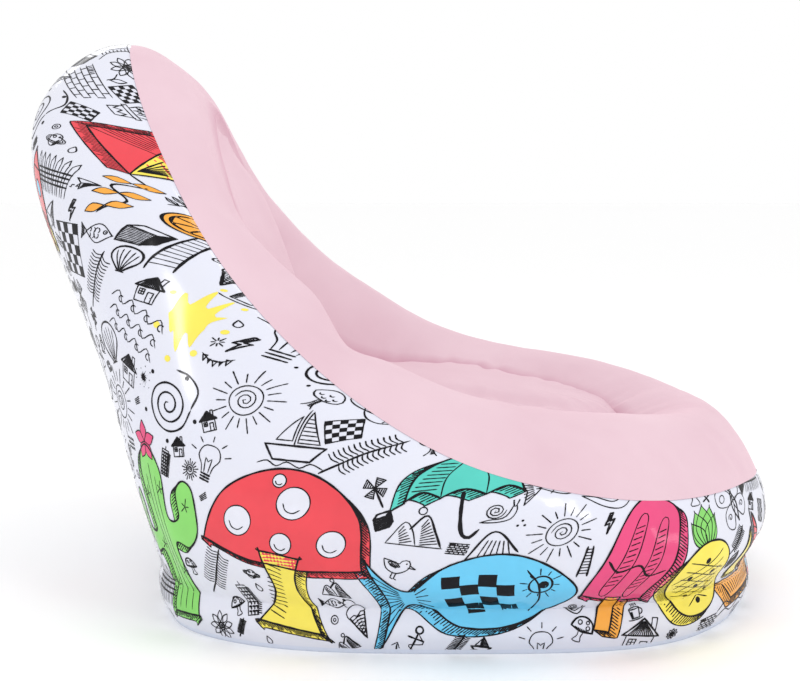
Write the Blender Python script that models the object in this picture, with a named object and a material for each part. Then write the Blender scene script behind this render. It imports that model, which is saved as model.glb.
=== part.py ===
"""Inflatable lounge chair: a reclined back that runs into a low seat, blown up from welded vinyl sheet.

The skin is a flocked top panel, two printed side walls and a flat bottom panel. Inside, a base web
pulls the walls in just above the floor, and a seat web and a back web pull the top panel down along
one closed valley. A push-in valve with a hinged cap and a one-way flap sits low at the back.
+X is forwards, +Y is the sitter's left, +Z is up, and the chair stands on Z = 0.
"""

import math

import bmesh
import bpy
import numpy as np
from mathutils import Matrix, Vector
from mathutils.bvhtree import BVHTree

MM = 0.001

# Overall size, blown up
LENGTH = 1133 * MM
WIDTH = 980 * MM
HEIGHT = 830 * MM

# Sheet
TOP_SHEET = 0.9 * MM  # vinyl and its flock
WALL_SHEET = 0.45 * MM
BOTTOM_SHEET = 0.5 * MM
WEB_SHEET = 0.4 * MM
WELD_GAP = 0.3 * MM  # between two sheets that are welded face to face

# Welded laps
TOP_LAP = 10 * MM  # the wall runs this far up under the top panel
TOP_LAP_STEP = 6 * MM  # length over which the wall comes out to the skin below the lap
BOTTOM_LAP = 14 * MM  # the wall's margin that lies on the bottom panel
SIDE_LAP = 12 * MM  # the left wall runs this far under the right one, front and back
SIDE_LAP_STEP = 9 * MM
WEB_FLANGE = 10 * MM  # turned-down border of the base web

# Lower bulge
CREASE_HEIGHT = 66 * MM
CREASE_INSET = 5 * MM
FOOT_HEIGHT = 34 * MM
EDGE_INSET = 15 * MM
EDGE_LIFT = BOTTOM_SHEET + WELD_GAP

# Rings of the skin. A row is a station on the near side, from the front middle to the back middle,
# and holds the point as shares of LENGTH, of half WIDTH and of HEIGHT.
SPINE_SHARES = (
    (0.231, 0, 0.340), (0.224, 0, 0.342), (0.206, 0, 0.347), (0.173, 0, 0.359), (0.129, 0, 0.370),
    (0.076, 0, 0.380), (0.001, 0, 0.387), (-0.063, 0, 0.406), (-0.121, 0, 0.488), (-0.162, 0, 0.629),
    (-0.192, 0, 0.733), (-0.225, 0, 0.798), (-0.236, 0, 0.829),
)
BULGE_SHARES = (
    (0.284, 0, 0.322), (0.275, 0.086, 0.326), (0.248, 0.159, 0.336), (0.201, 0.208, 0.348),
    (0.145, 0.237, 0.360), (0.083, 0.249, 0.374), (-0.001, 0.249, 0.379), (-0.072, 0.245, 0.400),
    (-0.135, 0.231, 0.485), (-0.181, 0.208, 0.629), (-0.213, 0.171, 0.735), (-0.244, 0.106, 0.807),
    (-0.253, 0, 0.843),
)
VALLEY_SHARES = (
    (0.318, 0, 0.285), (0.306, 0.147, 0.289), (0.275, 0.261, 0.302), (0.222, 0.343, 0.320),
    (0.160, 0.394, 0.339), (0.091, 0.414, 0.357), (0.001, 0.414, 0.360), (-0.081, 0.408, 0.382),
    (-0.149, 0.392, 0.471), (-0.195, 0.359, 0.620), (-0.227, 0.298, 0.731), (-0.250, 0.180, 0.829),
    (-0.2585, 0, 0.872),
)
RIDGE_SHARES = (
    (0.434, 0, 0.319), (0.423, 0.229, 0.323), (0.388, 0.429, 0.331), (0.323, 0.584, 0.346),
    (0.236, 0.669, 0.363), (0.143, 0.698, 0.386), (0.051, 0.694, 0.424), (-0.034, 0.661, 0.488),
    (-0.106, 0.608, 0.564), (-0.171, 0.524, 0.658), (-0.230, 0.402, 0.777), (-0.275, 0.233, 0.912),
    (-0.299, 0, 0.960),
)
SEAM_SHARES = (
    (0.488, 0, 0.223), (0.481, 0.265, 0.225), (0.444, 0.510, 0.237), (0.381, 0.724, 0.245),
    (0.291, 0.881, 0.257), (0.180, 0.954, 0.285), (0.063, 0.947, 0.333), (-0.056, 0.889, 0.426),
    (-0.161, 0.796, 0.550), (-0.237, 0.675, 0.676), (-0.290, 0.527, 0.795), (-0.338, 0.306, 0.916),
    (-0.364, 0, 0.9994),
)
SHOULDER_SHARES = (
    (0.500, 0, 0.181), (0.488, 0.306, 0.183), (0.446, 0.586, 0.189), (0.376, 0.816, 0.200),
    (0.284, 0.943, 0.216), (0.165, 0.992, 0.243), (0.044, 0.980, 0.295), (-0.087, 0.918, 0.388),
    (-0.204, 0.816, 0.506), (-0.308, 0.663, 0.641), (-0.396, 0.480, 0.777), (-0.457, 0.265, 0.876),
    (-0.480, 0, 0.908),
)
BELLY_SHARES = (
    (0.496, 0, 0.145), (0.484, 0.316, 0.146), (0.444, 0.612, 0.148), (0.376, 0.845, 0.155),
    (0.277, 0.967, 0.170), (0.147, 0.998, 0.190), (0.028, 0.994, 0.227), (-0.109, 0.955, 0.289),
    (-0.226, 0.853, 0.380), (-0.318, 0.704, 0.464), (-0.385, 0.500, 0.527), (-0.433, 0.265, 0.564),
    (-0.458, 0, 0.578),
)
HIP_SHARES = (
    (0.478, 0, 0.111), (0.467, 0.316, 0.111), (0.429, 0.606, 0.112), (0.361, 0.831, 0.116),
    (0.261, 0.940, 0.122), (0.135, 0.969, 0.130), (0.010, 0.966, 0.140), (-0.118, 0.935, 0.154),
    (-0.224, 0.862, 0.175), (-0.290, 0.739, 0.193), (-0.327, 0.535, 0.207), (-0.346, 0.286, 0.217),
    (-0.356, 0, 0.220),
)
FOOT_PLAN_SHARES = (
    (0.474, 0), (0.470, 0.271), (0.440, 0.535), (0.363, 0.765), (0.259, 0.875), (0.138, 0.901),
    (0.019, 0.901), (-0.098, 0.882), (-0.195, 0.817), (-0.268, 0.697), (-0.306, 0.520), (-0.322, 0.265),
    (-0.326, 0),
)
STATIONS = len(SEAM_SHARES) - 1  # from the front middle to the back middle

# Levels of the skin that a profile runs through, counted from the middle of the top panel
SPINE, BULGE, VALLEY, RIDGE, SEAM, SHOULDER, BELLY, HIP, CREASE, FOOT, EDGE = range(11)

# Fineness of the faceted skin
HALF_LINES = 26  # profiles on each side of the chair
TOP_LEVELS = (SPINE, 0.6, 1.3, VALLEY, 2.3, 2.65, RIDGE, 3.35, 3.7)
WALL_LEVELS = (4.35, 4.7, SHOULDER, 5.3, 5.65, BELLY, 6.45)
LOW_LEVELS = (8.5, FOOT, 9.5)

# Where the valve sits: a station, and the levels of its flat patch of wall
VALVE_STATION = 10.35
VALVE_LEVELS = (6.86, 7.25)
VALVE_FLAT = 72 * MM  # width of the flat patch

# Webs
SEAT_WEB_END = 7.4  # stations where the seat web ends and the back web starts
BACK_WEB_START = 8.3
BACK_WEB_SLOPE = math.radians(36)  # below the horizontal, square to the reclined back
AIR_HOLE_RADIUS = 24 * MM
SEAT_HOLE_X_SHARES = (-0.030, 0.075, 0.185)
SEAT_HOLE_Z_SHARE = 0.20
BASE_HOLE_X_SHARES = (-0.19, 0.08, 0.36)
BASE_HOLE_Y_SHARE = 0.55
CUTTER_OVERRUN = 20 * MM

# Valve. Heights are above the outer face of the wall, and negative ones are inside the chair.
FIT_GAP = 0.3 * MM
VALVE_SEGMENTS = 32
SOCKET_BORE = 19 * MM
SOCKET_WALL = 3 * MM
SOCKET_TOP = 5 * MM
SOCKET_DEPTH = 9 * MM
FLANGE_RADIUS = 32 * MM
FLANGE_SHEET = 1.2 * MM
PATCH_RADIUS = 33 * MM
PATCH_SHEET = 0.45 * MM
PLUG_DEPTH = 4 * MM
PLUG_TAPER = 1.2 * MM
RIM_RADIUS = 24 * MM
RIM_SHEET = 2 * MM
PORT_BORE = 9 * MM
PORT_WALL = 2.5 * MM
PORT_LIP = 2 * MM  # how far the port stands above the rim
GROOVE_WALL = 2.2 * MM
GROOVE_FLOOR = 1.5 * MM
CAP_RADIUS = 13 * MM
CAP_SHEET = 1.8 * MM
CAP_BOSS_DEPTH = 6 * MM
CAP_BOSS_WALL = 1.6 * MM
CAP_BOSS_TAPER = 1.1 * MM
CAP_TAB = 7 * MM
CAP_TAB_WIDTH = 9 * MM
FLAP_RADIUS = 11.2 * MM
FLAP_SHEET = 0.8 * MM
STRAP_WIDTH = 8 * MM
STRAP_SHEET = 1 * MM
STRAP_SINK = 1.5 * MM  # how far a strap or lug runs into the piece that carries it
STOPPER_HINGE_REACH = 28 * MM
CAP_HINGE_REACH = 17.5 * MM
FLAP_HINGE_REACH = 12.3 * MM
LUG_REACH = 1.5 * MM  # how far a lug runs past the hinge line above it
LUG_SHEET = 3 * MM

# Small steps for slopes and joins
SLOPE_STEP = 1.5 * MM
SLOPE_STATION_STEP = 0.02
SPINE_END_SHARE = 0.4  # of a station, kept from both ends of the spine, where it folds back
REACH_STEPS = (-0.2, -0.1, 0.0, 0.1, 0.2)  # stations at which the back web's reach is measured
MERGE = 0.01 * MM


def clear_scene():
    for obj in list(bpy.data.objects):
        bpy.data.objects.remove(obj, do_unlink=True)


def material(name, colour, roughness, metallic=0.0):
    made = bpy.data.materials.new(name)
    made.use_nodes = True
    shader = made.node_tree.nodes["Principled BSDF"]
    shader.inputs["Base Color"].default_value = (*colour, 1)
    shader.inputs["Roughness"].default_value = roughness
    shader.inputs["Metallic"].default_value = metallic
    return made


def face_outwards(mesh):
    """Joins doubled points and turns the faces so that the mesh encloses a positive volume."""
    shape = bmesh.new()
    shape.from_mesh(mesh)
    bmesh.ops.remove_doubles(shape, verts=shape.verts, dist=MERGE)
    bmesh.ops.recalc_face_normals(shape, faces=shape.faces)
    if shape.calc_volume(signed=True) < 0:
        bmesh.ops.reverse_faces(shape, faces=shape.faces)
    shape.to_mesh(mesh)
    shape.free()


def node(name, mesh, finish, smooth_angle=math.radians(40)):
    """A named object that holds the mesh, with its faces turned outwards."""
    face_outwards(mesh)
    obj = bpy.data.objects.new(name, mesh)
    bpy.context.scene.collection.objects.link(obj)
    mesh.materials.append(finish)
    mesh.shade_smooth()
    mesh.set_sharp_from_angle(angle=smooth_angle)
    return obj


def mesh_of(name, points, faces):
    mesh = bpy.data.meshes.new(name)
    mesh.from_pydata([tuple(float(value) for value in point) for point in points], [], faces)
    mesh.update()
    return mesh


def helper(name, mesh):
    """A cutter or an addition for a Boolean, which is no piece of the chair."""
    face_outwards(mesh)
    obj = bpy.data.objects.new(name, mesh)
    bpy.context.scene.collection.objects.link(obj)
    obj.hide_render = True
    obj.display_type = "WIRE"
    return obj


def combine(obj, other, operation):
    change = obj.modifiers.new(other.name, "BOOLEAN")
    change.operation = operation
    change.solver = "EXACT"
    change.object = other


def spline_slopes(points, knots, closed):
    """Second differences of the cubic spline through the points, one per knot."""
    count = len(points)
    rows = np.zeros((count, count))
    right = np.zeros_like(points)
    steps = np.diff(knots)
    if closed:
        for i in range(count):
            rows[i, i - 1] += 1
            rows[i, i] += 4
            rows[i, (i + 1) % count] += 1
            right[i] = 6 * (points[i - 1] - 2 * points[i] + points[(i + 1) % count])
    else:
        rows[0, 0] = rows[-1, -1] = 1
        for i in range(1, count - 1):
            rows[i, i - 1] = steps[i - 1]
            rows[i, i] = 2 * (steps[i - 1] + steps[i])
            rows[i, i + 1] = steps[i]
            rise = (points[i + 1] - points[i]) / steps[i]
            fall = (points[i] - points[i - 1]) / steps[i - 1]
            right[i] = 6 * (rise - fall)
    return np.linalg.solve(rows, right)


def spline_point(points, knots, bends, at):
    """Where the cubic spline is at one knot value. Past its ends it runs straight on."""
    last = len(knots) - 2
    i = min(max(int(np.searchsorted(knots, at, side="right")) - 1, 0), last)
    step = knots[i + 1] - knots[i]
    inside = min(max(at, knots[0]), knots[-1])
    a = (knots[i + 1] - inside) / step
    b = (inside - knots[i]) / step
    lift = ((a**3 - a) * bends[i] + (b**3 - b) * bends[i + 1]) * step * step / 6
    point = a * points[i] + b * points[i + 1] + lift
    if inside != at:
        rise = (points[i + 1] - points[i]) / step
        turn = ((1 - 3 * a * a) * bends[i] + (3 * b * b - 1) * bends[i + 1]) * step / 6
        point = point + (rise + turn) * (at - inside)
    return point


class Ring:
    """A closed curve round the chair, mirrored from the stations of its near side."""

    def __init__(self, near):
        near = np.asarray(near, float)
        far = near[-2:0:-1] * (1, -1, 1)
        self.points = np.vstack([near, far])
        self.count = len(self.points)
        self.bends = spline_slopes(self.points, np.arange(self.count + 1.0), True)

    def at(self, station):
        start = math.floor(station)
        share = station - start
        i, j = start % self.count, (start + 1) % self.count
        a, b = 1 - share, share
        lift = ((a**3 - a) * self.bends[i] + (b**3 - b) * self.bends[j]) / 6
        return a * self.points[i] + b * self.points[j] + lift


def ring_from_shares(shares):
    return Ring([(x * LENGTH, -y * WIDTH / 2, z * HEIGHT) for x, y, z in shares])


def foot_ring(height, inset):
    """The plan of the lower bulge, drawn in by an inset and set at a height."""
    plan = Ring([(x * LENGTH, -y * WIDTH / 2, height) for x, y in FOOT_PLAN_SHARES])
    drawn_in = []
    for station in range(STATIONS + 1):
        along = plan.at(station + SLOPE_STATION_STEP) - plan.at(station - SLOPE_STATION_STEP)
        inwards = np.array((along[1], -along[0], 0.0)) / np.linalg.norm(along[:2])
        middle = station in (0, STATIONS)
        point = plan.at(station) + inwards * inset
        drawn_in.append((point[0], 0.0 if middle else point[1], point[2]))
    return Ring(drawn_in)


class Skin:
    """The outer surface. A point is at a station round the chair and a level down its profile."""

    def __init__(self):
        self.rings = [
            ring_from_shares(shares)
            for shares in (
                SPINE_SHARES, BULGE_SHARES, VALLEY_SHARES, RIDGE_SHARES, SEAM_SHARES,
                SHOULDER_SHARES, BELLY_SHARES, HIP_SHARES,
            )
        ]
        self.rings.append(foot_ring(CREASE_HEIGHT, CREASE_INSET))
        self.rings.append(foot_ring(FOOT_HEIGHT, 0.0))
        self.rings.append(foot_ring(EDGE_LIFT, EDGE_INSET))
        self.profiles = {}

    def profile(self, station):
        """The pieces of the profile at a station: first level, points, knots and bends."""
        key = round(station % (2 * STATIONS), 6)
        if key not in self.profiles:
            stops = [ring.at(key) for ring in self.rings]
            mirrored = [stop * (1, -1, 1) for stop in (stops[VALLEY], stops[BULGE])]
            runs = []
            for first, points in (
                (SPINE - 2, mirrored + stops[SPINE : VALLEY + 1]),
                (VALLEY, stops[VALLEY : CREASE + 1]),
                (CREASE, stops[CREASE : EDGE + 1]),
            ):
                points = np.array(points)
                lengths = np.linalg.norm(np.diff(points, axis=0), axis=1)
                knots = np.concatenate([(0.0,), np.cumsum(lengths)])
                runs.append((first, points, knots, spline_slopes(points, knots, False)))
            self.profiles[key] = runs
        return self.profiles[key]

    def point(self, station, level, shift=0.0):
        """The skin at a station and level, moved along the profile by a length, down for plus."""
        runs = self.profile(station)
        down_from_here = shift > 0 or (shift == 0 and level not in (VALLEY, CREASE))
        if level < VALLEY or (level == VALLEY and not down_from_here):
            run = runs[0]
        elif level < CREASE or (level == CREASE and not down_from_here):
            run = runs[1]
        else:
            run = runs[2]
        first, points, knots, bends = run
        place = level - first
        i = min(int(math.floor(place)), len(knots) - 2)
        at = knots[i] + (place - i) * (knots[i + 1] - knots[i]) + shift
        return spline_point(points, knots, bends, at)

    def outwards(self, station, level, shift=0.0):
        """The unit normal of the skin, which is the mean of both sides at a crease."""
        along = self.point(station + SLOPE_STATION_STEP, level, shift)
        along = along - self.point(station - SLOPE_STATION_STEP, level, shift)
        after = self.point(station, level, shift + SLOPE_STEP)
        down = after - self.point(station, level, shift - SLOPE_STEP)
        normal = np.cross(along, down)
        return normal / np.linalg.norm(normal)


def sheet_grid(rows, closed):
    """Faces of a grid of points with rows along the profile and columns round the chair."""
    lines = len(rows[0])
    wraps = lines if closed else lines - 1
    faces = []
    for row in range(len(rows) - 1):
        for line in range(wraps):
            after = (line + 1) % lines
            here, below = row * lines, (row + 1) * lines
            # Both sheets of a lap are split along the same diagonal, so that they stay apart.
            faces.append((here + line, here + after, below + after))
            faces.append((here + line, below + after, below + line))
    return faces


def shell(name, outer, inner, closed):
    """A sheet with two skins. Rows run along the profile; a closed sheet goes round the chair."""
    lines = len(outer[0])
    points = [point for row in outer for point in row]
    shift = len(points)
    points += [point for row in inner for point in row]
    front = sheet_grid(outer, closed)
    back = [tuple(index + shift for index in reversed(face)) for face in sheet_grid(inner, closed)]
    faces = front + back
    wraps = lines if closed else lines - 1
    for row in (0, len(outer) - 1):
        for line in range(wraps):
            a, b = row * lines + line, row * lines + (line + 1) % lines
            faces.append((a, b, b + shift, a + shift))
    if not closed:
        for row in range(len(outer) - 1):
            for line in (0, lines - 1):
                a, b = row * lines + line, (row + 1) * lines + line
                faces.append((a, b, b + shift, a + shift))
    return mesh_of(name, points, faces)


def half_lines():
    """Stations of the profiles on the near side, with the valve's flat patch and both laps."""
    valve_half = VALVE_FLAT / 2 / station_length(VALVE_STATION, VALVE_LEVELS[0])
    lap = side_lap_stations()
    kept = [VALVE_STATION - valve_half, VALVE_STATION + valve_half]
    lines = [0.0, lap[0][0], lap[0][1], STATIONS - lap[1][1], STATIONS - lap[1][0], float(STATIONS)]
    lines += kept
    spacing = STATIONS / HALF_LINES
    clearance = spacing * 0.45
    for i in range(1, HALF_LINES):
        station = i * spacing
        if kept[0] < station < kept[1]:
            continue
        if min(abs(station - line) for line in lines) > clearance:
            lines.append(station)
    return sorted(lines)


def station_length(station, level):
    """Length of the skin per station there."""
    ends = [skin.point(station + side * SLOPE_STATION_STEP, level) for side in (-1, 1)]
    return np.linalg.norm(ends[1] - ends[0]) / (2 * SLOPE_STATION_STEP)


def side_lap_stations():
    """For the front and the back: where the lap ends and where its step ends, in stations."""
    found = []
    for middle in (0.0, float(STATIONS)):
        length = station_length(middle, HIP)
        found.append((SIDE_LAP / 2 / length, (SIDE_LAP / 2 + SIDE_LAP_STEP) / length))
    return found


def top_panel():
    """The flocked sheet that one sits on. Its two halves meet along the spine."""
    rows = [(level, 0.0) for level in TOP_LEVELS] + [(SEAM, -TOP_LAP), (SEAM, 0.0)]
    outer = [[skin.point(line, level, shift) for line in all_lines] for level, shift in rows]
    inner = []
    for (level, shift), row in zip(rows, outer):
        thick = []
        for line, point in zip(all_lines, row):
            if level == SPINE:
                normal = spine_normal(line)
            else:
                normal = skin.outwards(line, level, shift)
            thick.append(point - normal * TOP_SHEET)
        inner.append(thick)
    lines = len(all_lines)
    points = [point for row in outer for point in row]
    shift = len(points)
    points += [point for row in inner for point in row]
    faces = sheet_grid(outer, True)
    faces += [tuple(i + shift for i in reversed(face)) for face in sheet_grid(inner, True)]
    last = (len(rows) - 1) * lines
    for line in range(lines):
        a, b = last + line, last + (line + 1) % lines
        faces.append((a, b, b + shift, a + shift))
    return node("top_panel", mesh_of("top_panel", points, faces), FLOCK)


def spine_normal(station):
    """Square to the spine curve in the chair's middle plane."""
    mirrored = station if station <= STATIONS else 2 * STATIONS - station
    station = min(max(mirrored, SPINE_END_SHARE), STATIONS - SPINE_END_SHARE)
    ahead = skin.rings[SPINE].at(station - SLOPE_STATION_STEP)
    behind = skin.rings[SPINE].at(station + SLOPE_STATION_STEP)
    along = ahead - behind
    normal = np.array((-along[2], 0.0, along[0]))
    return normal / np.linalg.norm(normal)


def side_tuck(line, front_lap, back_lap):
    """How far in the left wall lies at a station, under the right wall's edge."""
    from_front = abs(line - round(line / (2 * STATIONS)) * 2 * STATIONS)
    from_back = abs(line - STATIONS)
    for distance, lap in ((from_front, front_lap), (from_back, back_lap)):
        if distance <= lap[0] + SLOPE_STATION_STEP / 10:
            return WALL_SHEET + WELD_GAP
    return 0.0


def wall_rows():
    """Level, shift along the profile and depth under the skin of each row of a side wall."""
    tuck = TOP_SHEET + WELD_GAP
    rows = [(SEAM, -TOP_LAP, tuck), (SEAM, 0.0, tuck), (SEAM, TOP_LAP_STEP, 0.0)]
    rows += [(level, 0.0, 0.0) for level in WALL_LEVELS + VALVE_LEVELS + (CREASE,) + LOW_LEVELS]
    return rows + [(EDGE, 0.0, 0.0)]


def wall_skins(lines, tucks):
    """Outer and inner points of a side wall, with its margin on the bottom panel."""
    outer, inner = [], []
    for level, shift, tuck in wall_rows():
        outside, inside = [], []
        for line, side in zip(lines, tucks):
            normal = skin.outwards(line, level, shift)
            if level == EDGE:
                # On the floor the wall turns in, so it is held at the floor's height there.
                normal = edge_normal(line)
                point = skin.point(line, level) - normal * side
                outside.append(point)
                inside.append(point - normal * WALL_SHEET + np.array((0, 0, WALL_SHEET)))
                continue
            point = skin.point(line, level, shift) - normal * (tuck + side)
            outside.append(point)
            inside.append(point - normal * WALL_SHEET)
        outer.append(outside)
        inner.append(inside)
    margin_outer, margin_inner = [], []
    for line, side in zip(lines, tucks):
        point = skin.point(line, EDGE) - edge_normal(line) * BOTTOM_LAP
        lifted = point + np.array((0, 0, side))
        margin_outer.append(lifted)
        margin_inner.append(lifted + np.array((0, 0, WALL_SHEET)))
    outer.append(margin_outer)
    inner.append(margin_inner)
    for index, side in enumerate(tucks):
        lift = np.array((0, 0, side))
        outer[-2][index] = outer[-2][index] + lift
        inner[-2][index] = inner[-2][index] + lift
    return outer, inner


def edge_normal(station):
    """Level and square to the chair's bottom edge, pointing out."""
    ring = skin.rings[EDGE]
    along = ring.at(station + SLOPE_STATION_STEP) - ring.at(station - SLOPE_STATION_STEP)
    normal = np.array((-along[1], along[0], 0.0)) / np.linalg.norm(along[:2])
    return normal


class ValveFrame:
    """The plane of the valve: its middle, the axis out of the wall and two directions in the wall."""

    def __init__(self):
        half = VALVE_FLAT / 2 / station_length(VALVE_STATION, VALVE_LEVELS[0])
        middle = 2 * STATIONS - VALVE_STATION
        self.lines = (middle - half, middle + half)
        corners = [skin.point(line, level) for line in self.lines for level in VALVE_LEVELS]
        self.origin = sum(corners) / len(corners)
        normal = np.cross(corners[3] - corners[0], corners[2] - corners[1])
        normal = normal / np.linalg.norm(normal)
        self.out = normal if normal @ self.origin > 0 else -normal
        side = np.cross((0, 0, 1), self.out)
        self.reach = side / np.linalg.norm(side)
        self.axis = np.cross(self.out, self.reach)

    def flattened(self, point):
        return point - self.out * ((point - self.origin) @ self.out)

    def matrix(self):
        """Takes local (reach, hinge axis, height above the wall) to the chair's frame."""
        place = Matrix.Identity(4)
        for column, direction in enumerate((self.reach, self.axis, self.out)):
            for row in range(3):
                place[row][column] = float(direction[row])
        place.translation = Vector([float(value) for value in self.origin])
        return place


def side_wall(name, lines, tucks, has_valve):
    """One printed side of the chair, from the top panel down to the floor."""
    outer, inner = wall_skins(lines, tucks)
    if has_valve:
        first = 3 + len(WALL_LEVELS)
        for row in (first, first + 1):
            for index, line in enumerate(lines):
                if min(abs(line - edge) for edge in valve.lines) < SLOPE_STATION_STEP / 10:
                    flat = valve.flattened(outer[row][index])
                    outer[row][index] = flat
                    inner[row][index] = flat - valve.out * WALL_SHEET
    return node(name, shell(name, outer, inner, False), PRINT)


def side_walls():
    front, back = side_lap_stations()
    right = [line for line in all_lines if line <= STATIONS]
    right_lines = [-front[0]] + right + [STATIONS + back[0]]
    left = [line for line in all_lines if line >= STATIONS]
    left_lines = [STATIONS - back[0]] + left + [2 * STATIONS, 2 * STATIONS + front[0]]
    right_wall = side_wall("right_wall", right_lines, [0.0] * len(right_lines), False)
    tucks = [side_tuck(line, front, back) for line in left_lines]
    left_wall = side_wall("left_wall", left_lines, tucks, True)
    radius = SOCKET_BORE + SOCKET_WALL + FIT_GAP
    hole = drum("valve_hole_cutter", radius, -CUTTER_OVERRUN, CUTTER_OVERRUN)
    combine(left_wall, helper("valve_hole_cutter", hole), "DIFFERENCE")
    return right_wall, left_wall


def bottom_panel():
    """The flat sheet on the floor."""
    ring = [skin.point(line, EDGE) for line in all_lines]
    low = [(point[0], point[1], 0.0) for point in ring]
    high = [(point[0], point[1], BOTTOM_SHEET) for point in ring]
    count = len(ring)
    faces = [tuple(reversed(range(count))), tuple(range(count, 2 * count))]
    for i in range(count):
        j = (i + 1) % count
        faces.append((i, j, j + count, i + count))
    return node("bottom_panel", mesh_of("bottom_panel", low + high, faces), BOTTOM)


def base_web():
    """The sheet that pulls the walls in at the crease, with a turned-down border and air holes."""
    inset = 2 * WALL_SHEET + 2 * WELD_GAP
    rings = []
    for depth, drop, shift in (
        (inset, 0.0, 0.0),
        (inset, 0.0, WEB_FLANGE),
        (inset + WEB_SHEET, 0.0, WEB_FLANGE),
        (inset + WEB_SHEET, -WEB_SHEET, 0.0),
    ):
        ring = []
        for line in all_lines:
            if shift:
                normal = skin.outwards(line, CREASE, shift)
                point = skin.point(line, CREASE, shift) - normal * depth
            else:
                point = skin.point(line, CREASE) - edge_normal(line) * depth
                point = point + np.array((0, 0, drop))
            ring.append(point)
        rings.append(ring)
    count = len(all_lines)
    points = [point for ring in rings for point in ring]
    faces = [tuple(range(count)), tuple(reversed(range(3 * count, 4 * count)))]
    for ring in range(3):
        for line in range(count):
            after = (line + 1) % count
            here, below = ring * count, (ring + 1) * count
            faces.append((here + line, here + after, below + after, below + line))
    web = node("base_web", mesh_of("base_web", points, faces), WEB)
    for number, share in enumerate(BASE_HOLE_X_SHARES):
        for side in (-1, 1):
            place = Matrix.Translation(
                (share * LENGTH, side * BASE_HOLE_Y_SHARE * WIDTH / 2, CREASE_HEIGHT)
            )
            name = f"base_hole_cutter_{number}_{'near' if side < 0 else 'far'}"
            hole = cylinder(name, AIR_HOLE_RADIUS, CUTTER_OVERRUN, place)
            combine(web, helper(name, hole), "DIFFERENCE")
    return web


def strip(name, near_edge, far_edge, across):
    """A web between two edges, as thick as its sheet to both sides of them."""
    outer, inner = [], []
    for edge in (near_edge, far_edge):
        outer.append([point + side * WEB_SHEET / 2 for point, side in zip(edge, across)])
        inner.append([point - side * WEB_SHEET / 2 for point, side in zip(edge, across)])
    return node(name, shell(name, outer, inner, False), WEB)


def valley_underside(line):
    """Just under the top panel where its valley is welded to a web."""
    normal = skin.outwards(line, VALLEY)
    return skin.point(line, VALLEY) - normal * (TOP_SHEET + WELD_GAP)


def valley_across(line):
    """Level and square to the valley, pointing out of its loop."""
    ring = skin.rings[VALLEY]
    along = ring.at(line + SLOPE_STATION_STEP) - ring.at(line - SLOPE_STATION_STEP)
    return along / np.linalg.norm(along)


def seat_web():
    """The curtain round the seat, from the valley down to the base web."""
    lines = [line for line in all_lines if line <= SEAT_WEB_END]
    far = [line - 2 * STATIONS for line in all_lines if line >= 2 * STATIONS - SEAT_WEB_END]
    lines = far + lines
    foot = CREASE_HEIGHT + WELD_GAP
    top = [valley_underside(line) for line in lines]
    bottom = [np.array((point[0], point[1], foot)) for point in top]
    across = []
    for line in lines:
        along = valley_across(line)
        side = np.array((-along[1], along[0], 0.0))
        across.append(side / np.linalg.norm(side))
    web = strip("seat_web", top, bottom, across)
    for number, share in enumerate(SEAT_HOLE_X_SHARES):
        turn = Matrix.Rotation(math.radians(90), 4, "X")
        place = Matrix.Translation((share * LENGTH, 0, SEAT_HOLE_Z_SHARE * HEIGHT)) @ turn
        name = f"seat_hole_cutter_{number}"
        hole = cylinder(name, AIR_HOLE_RADIUS, WIDTH / 2, place)
        combine(web, helper(name, hole), "DIFFERENCE")
    return web


def back_web(walls):
    """The curtain behind the backrest, from the valley to the back of the walls."""
    lines = [line for line in all_lines if BACK_WEB_START <= line <= 2 * STATIONS - BACK_WEB_START]
    aim = np.array((-math.cos(BACK_WEB_SLOPE), 0.0, -math.sin(BACK_WEB_SLOPE)))
    inner_skins = []
    for wall in walls:
        points = [vertex.co.copy() for vertex in wall.data.vertices]
        faces = [tuple(polygon.vertices) for polygon in wall.data.polygons]
        inner_skins.append(BVHTree.FromPolygons(points, faces))
    start = [valley_underside(line) for line in lines]
    end, across = [], []
    for line, point in zip(lines, start):
        # The shortest reach nearby, so that the web's straight edge clears the laps of the walls.
        nearby = [valley_underside(line + step) for step in REACH_STEPS]
        reach = min(wall_distance(tree, place, aim) for tree in inner_skins for place in nearby)
        end.append(point + aim * (reach - WELD_GAP))
        side = np.cross(aim, valley_across(line))
        across.append(side / np.linalg.norm(side))
    return strip("back_web", start, end, across)


def wall_distance(tree, point, aim):
    """How far the wall is along the aim. The first few millimetres leave the valley behind."""
    origin = Vector(point + aim * TOP_LAP)
    hit = tree.ray_cast(origin, Vector(aim))
    return (hit[3] + TOP_LAP) if hit[0] is not None else math.inf


def cylinder(name, radius, half_length, place):
    shape = bmesh.new()
    bmesh.ops.create_cone(
        shape, cap_ends=True, segments=VALVE_SEGMENTS, radius1=radius, radius2=radius,
        depth=2 * half_length, matrix=place,
    )
    mesh = bpy.data.meshes.new(name)
    shape.to_mesh(mesh)
    shape.free()
    return mesh


def drum(name, radius, low, high):
    """A cylinder on the valve's axis between two heights."""
    place = valve.matrix() @ Matrix.Translation((0, 0, (low + high) / 2))
    return cylinder(name, radius, (high - low) / 2, place)


def turned(name, outline):
    """A closed (radius, height) outline spun round the valve's axis."""
    points, faces = [], []
    count = len(outline)
    for step in range(VALVE_SEGMENTS):
        angle = 2 * math.pi * step / VALVE_SEGMENTS
        points += [(radius * math.cos(angle), radius * math.sin(angle), high) for radius, high in outline]
    for step in range(VALVE_SEGMENTS):
        after = (step + 1) % VALVE_SEGMENTS
        for i in range(count):
            j = (i + 1) % count
            here, there = step * count, after * count
            faces.append((here + i, there + i, there + j, here + j))
    return mesh_of(name, points, faces)


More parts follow.
